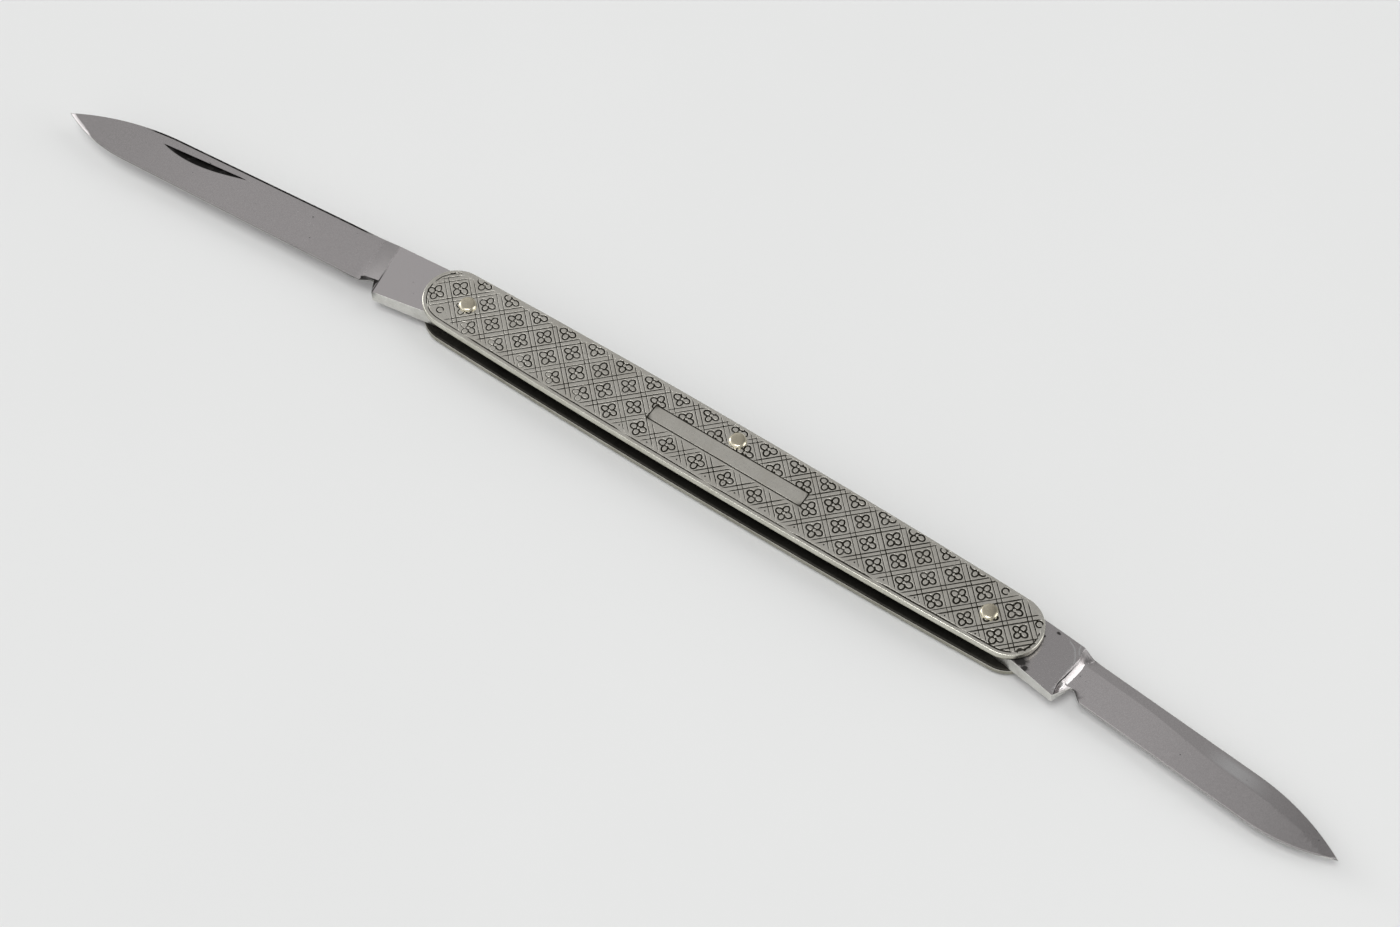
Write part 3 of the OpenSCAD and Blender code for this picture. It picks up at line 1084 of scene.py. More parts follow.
class Shader:
    """Node tree of a material or of the room, with a short call for each kind of node used here."""

    def __init__(self, owner: bpy.types.Material | bpy.types.World, last: str) -> None:
        """Starts the tree.

        Args:
            owner: What the nodes shade.
            last: Blender's name of the node that they lead to.
        """
        owner.use_nodes = True
        self.owner = owner
        self.tree = owner.node_tree
        self.last = next(n for n in self.tree.nodes if n.type == last)

    def put(self, socket: Socket, value: object) -> None:
        """Links a socket or sets its value.

        Args:
            socket: Input of a node.
            value: Another node's output, a colour or a number.
        """
        if isinstance(value, Socket):
            self.tree.links.new(value, socket)
        elif isinstance(value, tuple) and len(value) == 3 and socket.type == "RGBA":
            socket.default_value = (*value, 1.0)
        else:
            socket.default_value = value

    def node(self, kind: str, inputs: dict[str | int, object], **settings: object) -> bpy.types.Node:
        """Adds a node with its settings and inputs.

        Args:
            kind: Blender's name of the node's type.
            inputs: Value of each input, by its name or number.
            settings: Value of each of the node's own settings.

        Returns:
            The node.
        """
        made = self.tree.nodes.new(kind)
        for key, value in settings.items():
            setattr(made, key, value)
        for key, value in inputs.items():
            self.put(made.inputs[key], value)
        return made

    def place(self, scale: Triple, turn: float = 0.0, origin: Point = (0.0, 0.0)) -> Socket:
        """Object coordinates in millimetres, turned about an origin and scaled.

        Args:
            scale: Length along each axis that becomes 1.
            turn: Angle in degrees.
            origin: Place that becomes 0.

        Returns:
            The coordinates.
        """
        coords = self.node("ShaderNodeTexCoord", {})
        moved = self.node("ShaderNodeMapping", {
            "Vector": coords.outputs["Object"],
            "Location": (origin[0] * MM, origin[1] * MM, 0.0),
            "Rotation": (0.0, 0.0, math.radians(turn)),
            "Scale": tuple(MM / s for s in scale),
        }, vector_type="TEXTURE")
        return moved.outputs["Vector"]

    def noise(self, vector: Socket, scale: float, detail: float, rough: float) -> Socket:
        """Noise value.

        Args:
            vector: Coordinates.
            scale: Fineness.
            detail: Number of finer layers.
            rough: Their weight.

        Returns:
            The value, about 0.5 on average.
        """
        made = self.node("ShaderNodeTexNoise", {
            "Vector": vector, "Scale": scale, "Detail": detail, "Roughness": rough,
        })
        return made.outputs["Fac"]

    def span(self, value: object, low: float, high: float, to_low: float, to_high: float) -> Socket:
        """Value moved from one range to another and kept inside it.

        Args:
            value: The value.
            low: Start of the first range.
            high: Its end.
            to_low: Start of the second.
            to_high: Its end.

        Returns:
            The moved value.
        """
        made = self.node("ShaderNodeMapRange", {
            "Value": value, "From Min": low, "From Max": high, "To Min": to_low, "To Max": to_high,
        })
        return made.outputs["Result"]

    def math(self, operation: str, a: object, b: object = 0.0) -> Socket:
        """Sum, product or other operation on two values."""
        return self.node("ShaderNodeMath", {0: a, 1: b}, operation=operation).outputs["Value"]

    def mix(self, share: object, a: object, b: object) -> Socket:
        """Colour between a and b.

        Args:
            share: Weight of b.
            a: First colour.
            b: Second colour.

        Returns:
            The colour.
        """
        made = self.node("ShaderNodeMix", {}, data_type="RGBA")
        self.put(made.inputs["Factor"], share)
        self.put(made.inputs[6], a)
        self.put(made.inputs[7], b)
        return made.outputs[2]

    def attribute(self, name: str) -> Socket:
        """Value that the mesh carries at each point."""
        return self.node("ShaderNodeAttribute", {}, attribute_name=name).outputs["Fac"]

    def bump(self, height: object, distance: float, below: Socket | None = None) -> Socket:
        """Normal bumped by a height in millimetres.

        Args:
            height: Height as a share.
            distance: Height of a share of 1.
            below: Normal that is bumped.

        Returns:
            The normal.
        """
        made = self.node("ShaderNodeBump", {"Height": height, "Distance": distance * MM, "Strength": 1.0})
        if below is not None:
            self.put(made.inputs["Normal"], below)
        return made.outputs["Normal"]

    def spot(self, vector: Socket, x: float, y: float, wide: float, high: float) -> Socket:
        """Soft-edged ragged spot round a point of a tang's front face, 1 in the middle.

        Args:
            vector: Coordinates in millimetres.
            x: Middle of the spot.
            y: Middle of the spot.
            wide: Half its length.
            high: Half its height.

        Returns:
            The value.
        """
        moved = self.node("ShaderNodeMapping", {
            "Vector": vector, "Location": (x, y, HANDLE.mid_z + Tang.half_t), "Scale": (wide, high, 0.6),
        }, vector_type="TEXTURE").outputs["Vector"]
        length = self.node("ShaderNodeVectorMath", {0: moved}, operation="LENGTH").outputs["Value"]
        ragged = self.math("ADD", length, self.math("MULTIPLY", self.noise(vector, 2.2, 4.0, 0.7), 1.3))
        return self.span(ragged, 1.75, 1.25, 0.0, 1.0)


def metal(finish: Metal) -> bpy.types.Material:
    """Material of a metal finish.

    Args:
        finish: Colours, roughness and grain of the surface.

    Returns:
        The material, whose colour, roughness and relief come from nodes.
    """
    s = Shader(bpy.data.materials.new(finish.name), "BSDF_PRINCIPLED")
    # dulled places
    flat = s.place((1.0, 1.0, 1.0), finish.turn, finish.origin)
    cloudy = s.noise(flat, 0.35, 5.0, 0.6)
    fine = s.noise(flat, 3.0, 4.0, 0.65)
    grain = s.noise(s.place(finish.grain, finish.turn, finish.origin), 1.0, 3.0, 0.6)
    dull = s.span(s.math("ADD", s.math("MULTIPLY", cloudy, 0.65), s.math("MULTIPLY", fine, 0.35)),
                  0.62 - finish.dulled * 0.4, 0.8 - finish.dulled * 0.3, 0.0, 0.75)
    colour = s.mix(dull, finish.colour, finish.tarnish)
    # wide soft clouds
    haze = s.noise(s.place((9.0, 5.0, 9.0), finish.turn, finish.origin), 1.0, 1.0, 0.4)
    clouds = s.span(haze, 0.35, 0.65, 0.0, finish.haze)
    colour = s.mix(clouds, colour, tuple(c * CLOUD for c in finish.colour))
    roughness = s.math("ADD", s.span(fine, 0.3, 0.7, finish.roughness - finish.rough_span / 2,
                                     finish.roughness + finish.rough_span / 2),
                       s.math("MULTIPLY", dull, 0.08))
    # darker towards one end
    if finish.fade:
        start, end, share = finish.fade
        along = s.node("ShaderNodeSeparateXYZ", {"Vector": flat}).outputs["X"]
        colour = s.mix(s.span(along, start, end, 0.0, share), colour, (0.0, 0.0, 0.0))
    # rubbed rims with a painted sheen, and painted highlights on the blades
    edge = s.attribute(BRIGHTNESS)
    bright = tuple(min(0.97, c * finish.polish_and_sheen) for c in finish.colour)
    colour = s.mix(s.math("MULTIPLY", edge, 0.8), colour, bright)
    roughness = s.math("ADD", s.math("MULTIPLY", roughness, s.math("SUBTRACT", 1.0, edge)),
                       s.math("MULTIPLY", edge, finish.worn_and_sheen))
    # dark oxide in the engraved cuts, and painted shade on the blades
    if finish.patina_and_shade:
        depth = s.span(s.attribute(DARKNESS), 0.0, finish.filled, 0.0, 1.0)
        kept = s.span(s.noise(flat, 1.1, 4.0, 0.6), 0.25, 0.5, 0.85, 1.0)
        dark = s.math("MULTIPLY", depth, kept)
        colour = s.mix(dark, colour, finish.patina_and_shade)
        roughness = s.math("ADD", roughness, s.math("MULTIPLY", dark, 0.3))
    # stains, patches of painted shade, and fine specks everywhere
    if finish.spots:
        stain_and_shade = 0.0
        for spot in finish.spots:
            stain_and_shade = s.math("MAXIMUM", stain_and_shade, s.spot(flat, *spot))
        colour = s.mix(s.math("MULTIPLY", stain_and_shade, 0.93), colour, STAIN_AND_SHADE)
        roughness = s.math("ADD", roughness, s.math("MULTIPLY", stain_and_shade, 0.3))
    specks = s.span(s.noise(flat, 2.4, 1.0, 0.5), 0.79, 0.81, 0.0, 0.8)
    colour = s.mix(specks, colour, tuple(c * SPECK for c in finish.colour))
    s.put(s.last.inputs["Base Color"], colour)
    s.put(s.last.inputs["Roughness"], roughness)
    s.put(s.last.inputs["Metallic"], 1.0)
    s.put(s.last.inputs["Normal"], s.bump(grain, finish.grain_height, s.bump(fine, finish.fine_height)))
    return s.owner


def floor_cloth() -> bpy.types.Material:
    """Plain pale matt floor.

    Returns:
        The material.
    """
    s = Shader(bpy.data.materials.new("pale_floor"), "BSDF_PRINCIPLED")
    tone = s.noise(s.place((0.02, 0.02, 0.02)), 1.0, 2.0, 0.5)
    s.put(s.last.inputs["Base Color"], s.mix(tone, (0.80, 0.805, 0.80), (0.83, 0.835, 0.83)))
    s.put(s.last.inputs["Roughness"], 0.9)
    return s.owner


@dataclass
class Piece:
    """A shown piece and what it stands for.

    Attributes:
        obj: The mesh object.
        body: Body that it moves with.
        node: CAD node that it replaces.
        slot: Material slot of the record that it belongs to; not used.
    """

    obj: bpy.types.Object
    body: str
    node: str
    slot: str

    def dress(self, *materials: bpy.types.Material) -> "Piece":
        """Gives the piece its materials and ties it to its CAD node.

        Args:
            *materials: One for each slot of its faces.

        Returns:
            The piece itself.
        """
        for material in materials:
            self.obj.data.materials.append(material)
        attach(self.obj, self.body)
        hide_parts(self.node)
        return self


@dataclass
class Scale:
    """Engraved scale with a rubbed round rim, brightened with a painted sheen.

    Attributes:
        side: Face of the knife that it looks out of.
        low: Height of its rear face.
        high: Height of its front face.
        rim: Rim of the engraved face.
        hidden: Rim against the liner.
    """

    side: Side
    low: float
    high: float
    rim: Rim = ((0.0, 0.12), (0.03, 0.052), (0.07, 0.014), (0.12, 0.0))
    hidden: Rim = ((0.0, 0.03), (0.03, 0.0))

    def build(self, name: str, engraving: Engraving) -> bpy.types.Object:
        """Makes the plate with its engraving on its outer side.

        Args:
            name: Name of the piece.
            engraving: The cuts.

        Returns:
            The mesh object.
        """
        front = self.side is Side.FRONT
        shown, unseen = (self.high, self.low) if front else (self.low, self.high)
        cut = Face(lambda x, y: shown - self.side.value * engraving.sample(x, y)[0], engraving.creases(),
                   self.rim, darkness_at=lambda x, y: engraving.sample(x, y)[1])
        bare = Face(lambda x, y: unseen, rim=self.hidden)
        top, bottom = (cut, bare) if front else (bare, cut)
        return Relief(HANDLE.outline(), top, bottom, HANDLE.holes()).build(name, Matrix.Identity(4))


@dataclass
class Liner:
    """Plain liner, near black with dirt and painted shade on the side that faces the slot.

    Attributes:
        side: Face of the knife that it looks out of.
        low: Height of its rear face.
        high: Height of its front face.
    """

    side: Side
    low: float
    high: float

    def build(self, name: str) -> bpy.types.Object:
        """Makes the plate.

        Args:
            name: Name of the piece.

        Returns:
            The mesh object.
        """
        inner = ((0.0, 0.2), (0.03, 0.09), (0.09, 0.03), (0.2, 0.0))
        # the side towards the slot takes the near black material: dirt and painted shade
        grimy_and_shaded = dict(rim=inner, material=Material.INSIDE, rim_material=Material.INSIDE)
        rear = self.side is Side.REAR
        top = Face(lambda x, y: self.high, **(grimy_and_shaded if rear else {}))
        bottom = Face(lambda x, y: self.low, **({} if rear else grimy_and_shaded))
        return Relief(HANDLE.outline(), top, bottom, HANDLE.holes()).build(name, Matrix.Identity(4))


@dataclass
class Spring:
    """Back spring: a pad at each end, two arms and a thick middle with the eye of its pin.

    Attributes:
        low: Height of its rear face.
        high: Height of its front face.
        pad_y: Inner side of the pads, from the handle's middle line.
        arm_y: Inner side of the arms.
        belly_y: Inner side of the thick middle.
        belly_half: Half the length of the thick middle.
        nose_out: Length of a pad outside its pivot.
        nose_in: Length of a pad inside its pivot.
        ramp: Length of the slope from a pad to its arm.
        notch: Distance from a pivot at which the arm starts to thicken.
    """

    low: float = 1.4
    high: float = 3.7
    pad_y: float = 2.4
    arm_y: float = 2.75
    belly_y: float = 1.2
    belly_half: float = 6.0
    nose_out: float = 1.0
    nose_in: float = 3.4
    ramp: float = 0.8
    notch: float = 11.35

    def outline(self) -> list[Vector]:
        """Counter-clockwise loop of the spring.

        Returns:
            Points of the loop, from the left pad on.
        """
        left, right, y0 = HANDLE.master[0], HANDLE.pen[0], HANDLE.axis_y
        inner = [
            (left - self.nose_out, self.pad_y), (left + self.nose_in, self.pad_y),
            (left + self.nose_in + self.ramp, self.arm_y), (left + self.notch, self.arm_y),
            (-self.belly_half, self.belly_y), (self.belly_half, self.belly_y),
            (right - self.notch, self.arm_y), (right - self.nose_in - self.ramp, self.arm_y),
            (right - self.nose_in, self.pad_y), (right + self.nose_out, self.pad_y),
        ]
        front = spaced([v2(x, y + y0) for x, y in inner], 2.0)
        return front + HANDLE.side(right + self.nose_out, left - self.nose_out, 50)

    def build(self, name: str) -> bpy.types.Object:
        """Makes the spring.

        Args:
            name: Name of the piece.

        Returns:
            The mesh object.
        """
        rim = ((0.0, 0.05), (0.015, 0.015), (0.05, 0.0))
        top = Face(lambda x, y: self.high, rim=rim)
        bottom = Face(lambda x, y: self.low, rim=rim)
        hole = ((v2(*HANDLE.middle), HANDLE.bore_r),)
        return Relief(self.outline(), top, bottom, hole).build(name, Matrix.Identity(4))


@dataclass(frozen=True)
class Tang:
    """Sizes that both tangs share.

    Attributes:
        half_t: Half the thickness.
        flat_h: Distance of the two flats from the pivot.
        round_r: Radius of the corners.
        back_h: Height of the back over the pivot.
        kick_u: Distance of the kick from the pivot.
        kick_v: Depth of the kick below the pivot.
        thin_from: Distance at which the rear face starts to slope.
        stop: Distance of the shoulder.
        flat_end: Length of the flat for the closed blade.
        closed_droop: Angle of that flat in degrees.
        bore_r: Radius of the bore.
    """

    half_t: float = 1.1
    flat_h: float = 2.35
    round_r: float = 1.2
    back_h: float = 3.55
    kick_u: float = 10.7
    kick_v: float = 3.25
    thin_from: float = 4.6
    stop: float = 1.05
    flat_end: float = 4.2
    closed_droop: float = 2.92
    bore_r: float = 0.73


@dataclass(frozen=True)
class Grind:
    """Sizes that both blades share: u runs out along a blade and v to its back.

    Attributes:
        outer: Height of the outer face over the slot's middle.
        inner: Height of the inner face.
        edge_t: Thickness that the ground faces run out to.
        plunge: Length from the kick to the notch.
        notch_l: Length of the notch.
        heel_l: Length from the notch to the cutting edge.
        hone: Width of the honed edge.
        keen: Half the thickness at the very edge.
        strip: Width of the whetted strip beside the point.
        strip_drop: Its drop at the edge.
    """

    outer: float = 1.0
    inner: float = 0.1
    edge_t: float = 0.12
    plunge: float = 0.65
    notch_l: float = 0.5
    heel_l: float = 1.2
    hone: float = 0.2
    keen: float = 0.05
    strip: float = 0.4
    strip_drop: float = 0.085

    @property
    def spine_t(self) -> float:
        """Thickness at the spine."""
        return self.outer - self.inner

    @property
    def edge_w(self) -> float:
        """Height of the cutting edge over the slot's middle."""
        return (self.outer + self.inner) / 2


@dataclass
class Blade:
    """A blade with its tang, worked out in its own axes.

    Attributes:
        sign: 1 where the outer face looks to the front, as on the master blade, and -1 where it looks back.
        reach: Distance from the pivot to the point.
        droop: Angle in degrees by which the open blade hangs below the handle's line.
        heel_v: Depth of the edge at the heel.
        belly_u: Distance at which the edge starts to curve.
        belly_v: Its depth there.
        fall_u: Distance at which the spine starts to fall.
        point_v: Height of the point.
        notch_v: Depth of the notch.
        kick_t: Thickness at the kick.
        nick: Both ends of the nail nick.
        nick_wide: Its greatest width.
        nick_deep: Its greatest depth.
        ramp: Length of the slope beside the tang.
        ramp_power: How much steeper it starts than it ends.
        hollow: How far the ground face lies below its level beside the tang.
        strip_from: Distance at which the whetted strip starts.
        tone: Brightness of the clean steel.
        fade: Two places along the blade, from its pivot, and how much darker it is at the second one.
        stains_and_shade: Place and half sizes of each dark patch, from the pivot: stains, partly painted
            shade on the pen's tang.
        scratches: Points of each curved mark of the wheel on the tang.
        scratch_half: Half the width of such a mark.
        nick_rise: Width of the nick's steep upper side.
        spine_dark: Distances from the spine at which its dark line of painted shade starts to fade and
            ends.
        swedge: Width of the bevel along the spine where it starts, and its growth.
        swedge_deep: Its drop at the spine.
        web: Thickness that is left where the two faces meet.
        tang: Sizes of the tang.
        grind: Sizes of the ground part.
    """

    sign: int
    reach: float
    droop: float
    heel_v: float
    belly_u: float
    belly_v: float
    fall_u: float
    point_v: float
    notch_v: float
    kick_t: float
    nick: tuple[Point, Point]
    nick_wide: float
    nick_deep: float
    ramp: float
    ramp_power: float
    hollow: float
    strip_from: float
    tone: float
    fade: Triple
    stains_and_shade: tuple[Patch, ...]
    scratches: tuple[tuple[Point, ...], ...] = ()
    scratch_half: float = 0.13
    nick_rise: float = 0.03
    spine_dark: Point = (0.19, 0.26)
    swedge: Point = (1.1, 0.75)
    swedge_deep: float = 0.08
    web: float = 0.12
    tang: Tang = Tang()
    grind: Grind = Grind()

    def __post_init__(self) -> None:
        """Works out the arcs of the belly and of the spine's fall."""
        tang, grind = self.tang, self.grind
        self.notch_u = tang.kick_u + grind.plunge
        self.heel = v2(self.notch_u + grind.notch_l + grind.heel_l, -self.heel_v)
        self.belly = v2(self.belly_u, -self.belly_v)
        self.tip = v2(self.reach, self.point_v)
        self.fall = v2(self.fall_u, tang.back_h)
        self.along = (self.belly - self.heel).normalized()
        self.across = v2(-self.along.y, self.along.x)
        self.belly_r = self._radius(self.belly, self.across)
        self.fall_r = self._radius(self.fall, v2(0, -1))
        self.slope = (grind.spine_t - grind.edge_t) / 2 / (tang.back_h + self.belly_v)
        self.marks = [
            Cut(tuple(v2(*p) for p in line), (self.scratch_half,) * len(line), 0.0, 1.0)
            for line in self.scratches
        ]

    def _radius(self, start: Vector, towards: Vector) -> float:
        """Radius of the arc that leaves a straight line at start and ends at the point."""
        gap = self.tip - start
        return gap.length_squared / (2 * gap.dot(towards))

    def from_edge(self, p: Vector) -> float:
        """Distance of a point from the cutting edge.

        Args:
            p: The point.

        Returns:
            The distance, positive inside.
        """
        if (p - self.belly).dot(self.along) <= 0:
            return (p - self.belly).dot(self.across)
        return self.belly_r - (p - self.belly - self.across * self.belly_r).length

    def from_spine(self, p: Vector) -> float:
        """Distance of a point from the spine.

        Args:
            p: The point.

        Returns:
            The distance, positive inside.
        """
        if p.x <= self.fall.x:
            return self.fall.y - p.y
        return self.fall_r - (p - self.fall + v2(0, self.fall_r)).length

    def half_thickness(self, p: Vector) -> float:
        """Half the thickness of the ground blade at a point.

        Args:
            p: The point.

        Returns:
            Half the thickness.
        """
        grind = self.grind
        away = max(0.0, self.from_edge(p))
        body = min(grind.spine_t / 2, grind.edge_t / 2 + self.slope * away)
        if away < grind.hone:
            shoulder = grind.edge_t / 2 + self.slope * grind.hone
            return grind.keen + (shoulder - grind.keen) * away / grind.hone
        return body

    def belly_arc(self) -> list[Vector]:
        """Points of the curved part of the edge, up to the point.

        Returns:
            The points.
        """
        centre = self.belly + self.across * self.belly_r
        start = math.degrees(math.atan2(-self.across.y, -self.across.x))
        last = self.tip - centre
        end = math.degrees(math.atan2(last.y, last.x))
        return arc(centre, self.belly_r, start, end, 26)

    def fall_arc(self) -> list[Vector]:
        """Points of the curved part of the spine, from the point back.

        Returns:
            The points.
        """
        centre = self.fall - v2(0, self.fall_r)
        last = self.tip - centre
        start = math.degrees(math.atan2(last.y, last.x))
        return arc(centre, self.fall_r, start, 90, 26)

    def outline(self) -> list[Vector]:
        """Counter-clockwise loop of tang and blade.

        Returns:
            Points of the loop, from the shoulder on.
        """
        tang = self.tang
        drop, closed = math.radians(self.droop), math.radians(tang.closed_droop)
        away = tang.flat_h - tang.round_r
        back = v2(-away, away * (1 - math.sin(drop)) / math.cos(drop))
        front = v2(-away, -away * (1 - math.sin(closed)) / math.cos(closed))
        flat_end = v2(tang.flat_end, -(tang.flat_h + tang.flat_end * math.sin(closed)) / math.cos(closed))
        notch_end = v2(self.notch_u + self.grind.notch_l, -self.notch_v)
        loop = [v2((tang.stop - tang.back_h * math.sin(drop)) / math.cos(drop), tang.back_h)]
        loop.append(turned(tang.stop, tang.flat_h, self.droop))
        loop += arc(back, tang.round_r, 90 + self.droop, 180, 8)
        loop += arc(front, tang.round_r, 180, 270 - tang.closed_droop, 8)
        loop += spaced([flat_end, v2(tang.kick_u, -tang.kick_v)], 1.0)
        loop += spaced([v2(self.notch_u, -self.notch_v), notch_end, self.heel], 0.35)
        loop += spaced([self.heel, self.belly], 1.0)[1:]
        loop += self.belly_arc()[1:]
        loop += self.fall_arc()[1:]
        loop += spaced([self.fall, v2(self.notch_u, tang.back_h)], 1.0)[1:]
        loop += spaced([v2(self.notch_u, tang.back_h), loop[0]], 0.5)[1:-1]
        return loop

    def ramp_start(self, v: float) -> float:
        """Distance from the pivot at which the tang's flat face ends.

        Args:
            v: Height on the tang.

        Returns:
            The distance.
        """
        start = self.tang.kick_u + 0.06 * (v + self.tang.kick_v)
        if self.sign > 0:
            return start
        return start - 0.6 * smooth(-3.4, -1.5, v) - 0.4 * smooth(1.6, 3.6, v)

    def ramp_length(self, v: float) -> float:
        """Length of the slope down to the ground face.

        Args:
            v: Height on the tang.

        Returns:
            The length.
        """
        if self.sign > 0:
            return self.ramp
        return self.ramp * (0.65 + 0.35 * smooth(-3.2, 0.8, v)) + 0.9 * smooth(2.3, 3.6, v)

    def ramp_share(self, u: float, v: float) -> float:
        """Share of the tang's height that is left at a point of the slope."""
        t = (u - self.ramp_start(v)) / self.ramp_length(v)
        return 1.0 if t <= 0 else 0.0 if t >= 1 else (1 - t) ** self.ramp_power

    def nick_swell(self, t: float) -> float:
        """Width of the nail nick, which is widest beyond its middle, as a share of the widest."""
        skew = t**1.27
        return 4 * skew * (1 - skew)

    def nick_depth(self, p: Vector) -> float:
        """Depth of the nail nick at a point.

        Args:
            p: The point.

        Returns:
            The depth, 0 outside the nick.
        """
        a, b = v2(*self.nick[0]), v2(*self.nick[1])
        along = (b - a).normalized()
        t = (p - a).dot(along) / (b - a).length
        if not 0 < t < 1:
            return 0.0
        below = (p - a).dot(v2(along.y, -along.x))
        swell = self.nick_swell(t)
        wide = self.nick_wide * swell
        if not -self.nick_rise < below < wide:
            return 0.0
        deep = self.nick_deep * swell
        return deep * (1 + below / self.nick_rise) if below < 0 else deep * (1 - below / wide)

    def nick_creases(self) -> list[list[Vector]]:
        """Border lines of the nail nick.

        Returns:
            Points of each line.
        """
        a, b = v2(*self.nick[0]), v2(*self.nick[1])
        along = (b - a).normalized()
        down = v2(along.y, -along.x)
        lines = []
        for offset in (0.0, -self.nick_rise):
            lines.append([a.lerp(b, i / 24) + down * offset for i in range(25)])
        for share in (0.35, 0.7, 1.0):
            lines.append([
                a.lerp(b, i / 32) + down * self.nick_wide * share * self.nick_swell(i / 32)
                for i in range(33)
            ])
        return lines

    def swedge_width(self, u: float) -> float:
        """Width of the bevel along the spine."""
        least, growth = self.swedge
        return least + growth * smooth(18, 30, u) - growth * smooth(33, self.reach, u)

    def swedge_drop(self, p: Vector) -> float:
        """Drop of the bevel along the spine at a point.

        Args:
            p: The point.

        Returns:
            The drop, 0 outside the bevel.
        """
        wide = self.swedge_width(p.x)
        away = self.from_spine(p)
        if away >= wide:
            return 0.0
        return self.swedge_deep * (1 - max(0.0, away) / wide) * smooth(9.5, 12.5, p.x)

    def strip_width(self, u: float) -> float:
        """Width of the whetted strip beside the point."""
        return 0.02 + self.grind.strip * smooth(self.strip_from, self.strip_from + 2.4, u)

    def strip_drop(self, p: Vector) -> float:
        """Drop of the whetted strip beside the point.

        Args:
            p: The point.

        Returns:
            The drop, 0 outside the strip.
        """
        away, wide = self.from_edge(p), self.strip_width(p.x)
        if away >= wide or p.x < self.strip_from:
            return 0.0
        return self.grind.strip_drop * (wide - max(0.0, away)) / self.grind.strip

    def grime_and_shade(self, u: float, v: float) -> float:
        """Painted shade on the front face: in the nick, the notch and the slope, at the spine and at the
        edge.

        Args:
            u: Place along the blade.
            v: Place across it.

        Returns:
            Darkness from 0 to 1.
        """
        p = v2(u, v)
        # painted shade in the nail nick, darker where it is deeper
        nick = min(1.0, self.nick_depth(p) / 0.1) if self.sign > 0 else 0.0
        # painted shade: a dark line along the spine
        away = self.from_spine(p)
        spine = (1 - smooth(*self.spine_dark, away)) * smooth(0.0, 0.04, away)
        spine *= smooth(14, 18, u) * (1 - smooth(41, 46, u)) * (self.sign > 0)
        # painted shade in the notch
        notch_from = self.notch_u - (0.5 if self.sign > 0 else -0.1)
        notch = (1 - smooth(0.1, 0.25, v + self.notch_v)) * (notch_from < u < self.heel.x - 0.2)
        notch *= 1.0 if self.sign > 0 else 0.35
        # painted shade on the tang and the slope beside it, with a dark line across
        share = self.ramp_share(u, v)
        if self.sign > 0:
            ramp = 0.09 * smooth(0.0, 0.3, share) * (share < 1)
            line = 1 - smooth(0.05, 0.11, abs(u - self.ramp_start(v) + 0.05))
            ramp = max(ramp, 0.34 * line * (1 - smooth(-1.6, 1.2, v)))
        else:
            ramp = 0.04 * (share == 1) + 0.2 * (0 < share < 1) * smooth(2.2, 2.7, v)
            line = max(0.0, 1 - abs(share - 0.74) / 0.15)
            ramp = max(ramp, 0.6 * line * (1 - 0.7 * smooth(-1.0, 2.0, v)))
        # painted shade on the honed edge
        hone = 0.22 * (1 - smooth(self.grind.hone - 0.05, self.grind.hone, self.from_edge(p)))
        hone *= u > self.heel.x and self.strip_drop(p) <= 0
        return max(nick, spine, notch, ramp, hone)

    def rear_painted_shade(self, u: float, v: float) -> float:
        """Painted shade on the rear face, in the nail nick."""
        return min(1.0, self.nick_depth(v2(u, v)) / 0.1) if self.sign < 0 else 0.0

    def polish_and_sheen(self, u: float, v: float) -> float:
        """Brightness of the front face: rubbed tang, painted highlights on the pen's slope and bevel,
        whetted strip, wheel marks.

        Args:
            u: Place along the blade.
            v: Place across it.

        Returns:
            Brightness from 0 to 1.
        """
        share = self.ramp_share(u, v)
        if self.sign > 0:
            slope = 0.5 * (share == 1)
        else:
            # pen: painted highlight on the slope beside the tang
            slope = smooth(0.0, 0.1, share) * (share < 1) * (1 - smooth(1.9, 2.5, v))
            across = self.from_spine(v2(u, v)) / self.swedge_width(u)
            # painted highlight along the bevel of the spine
            glint = smooth(26, 30, u) * (1 - smooth(30.5, 35, u)) * smooth(0, 0.4, across)
            slope = max(slope, 0.75 * glint * (1 - smooth(0.85, 1.0, across)))
        # whetted strip beside the point, rubbed bright with a painted highlight, and the wheel marks
        return max(slope, min(1.0, self.strip_drop(v2(u, v)) * 30), self.scratched(v2(u, v)))

    def scratched(self, p: Vector) -> float:
        """How bright the curved marks of the grinding wheel on the tang are at a point.

        Args:
            p: The point.

        Returns:
            Brightness from 0 to 1.
        """
        found = 0.0
        for mark in self.marks:
            for a, b in zip(mark.line, mark.line[1:]):
                t = min(1.0, max(0.0, (p - a).dot(b - a) / (b - a).length_squared))
                found = max(found, 1 - (p - a.lerp(b, t)).length / self.scratch_half)
        return found

    def front(self, u: float, v: float) -> float:
        """Height of the front face over the slot's middle.

        Args:
            u: Place along the blade.
            v: Place across it.

        Returns:
            The height.
        """
        p = v2(u, v)
        ground = self.sign * self.grind.edge_w + self.half_thickness(p) - self.strip_drop(p)
        ground -= self.hollow * (1 - smooth(self.notch_u, self.notch_u + 9, u))
        if self.sign > 0:
            ground -= self.nick_depth(p)
        else:
            ground -= self.swedge_drop(p)
            if u < self.notch_u:
                ground = max(ground, self.rear(u, v) + self.web)
        return ground + (self.tang.half_t - ground) * self.ramp_share(u, v)

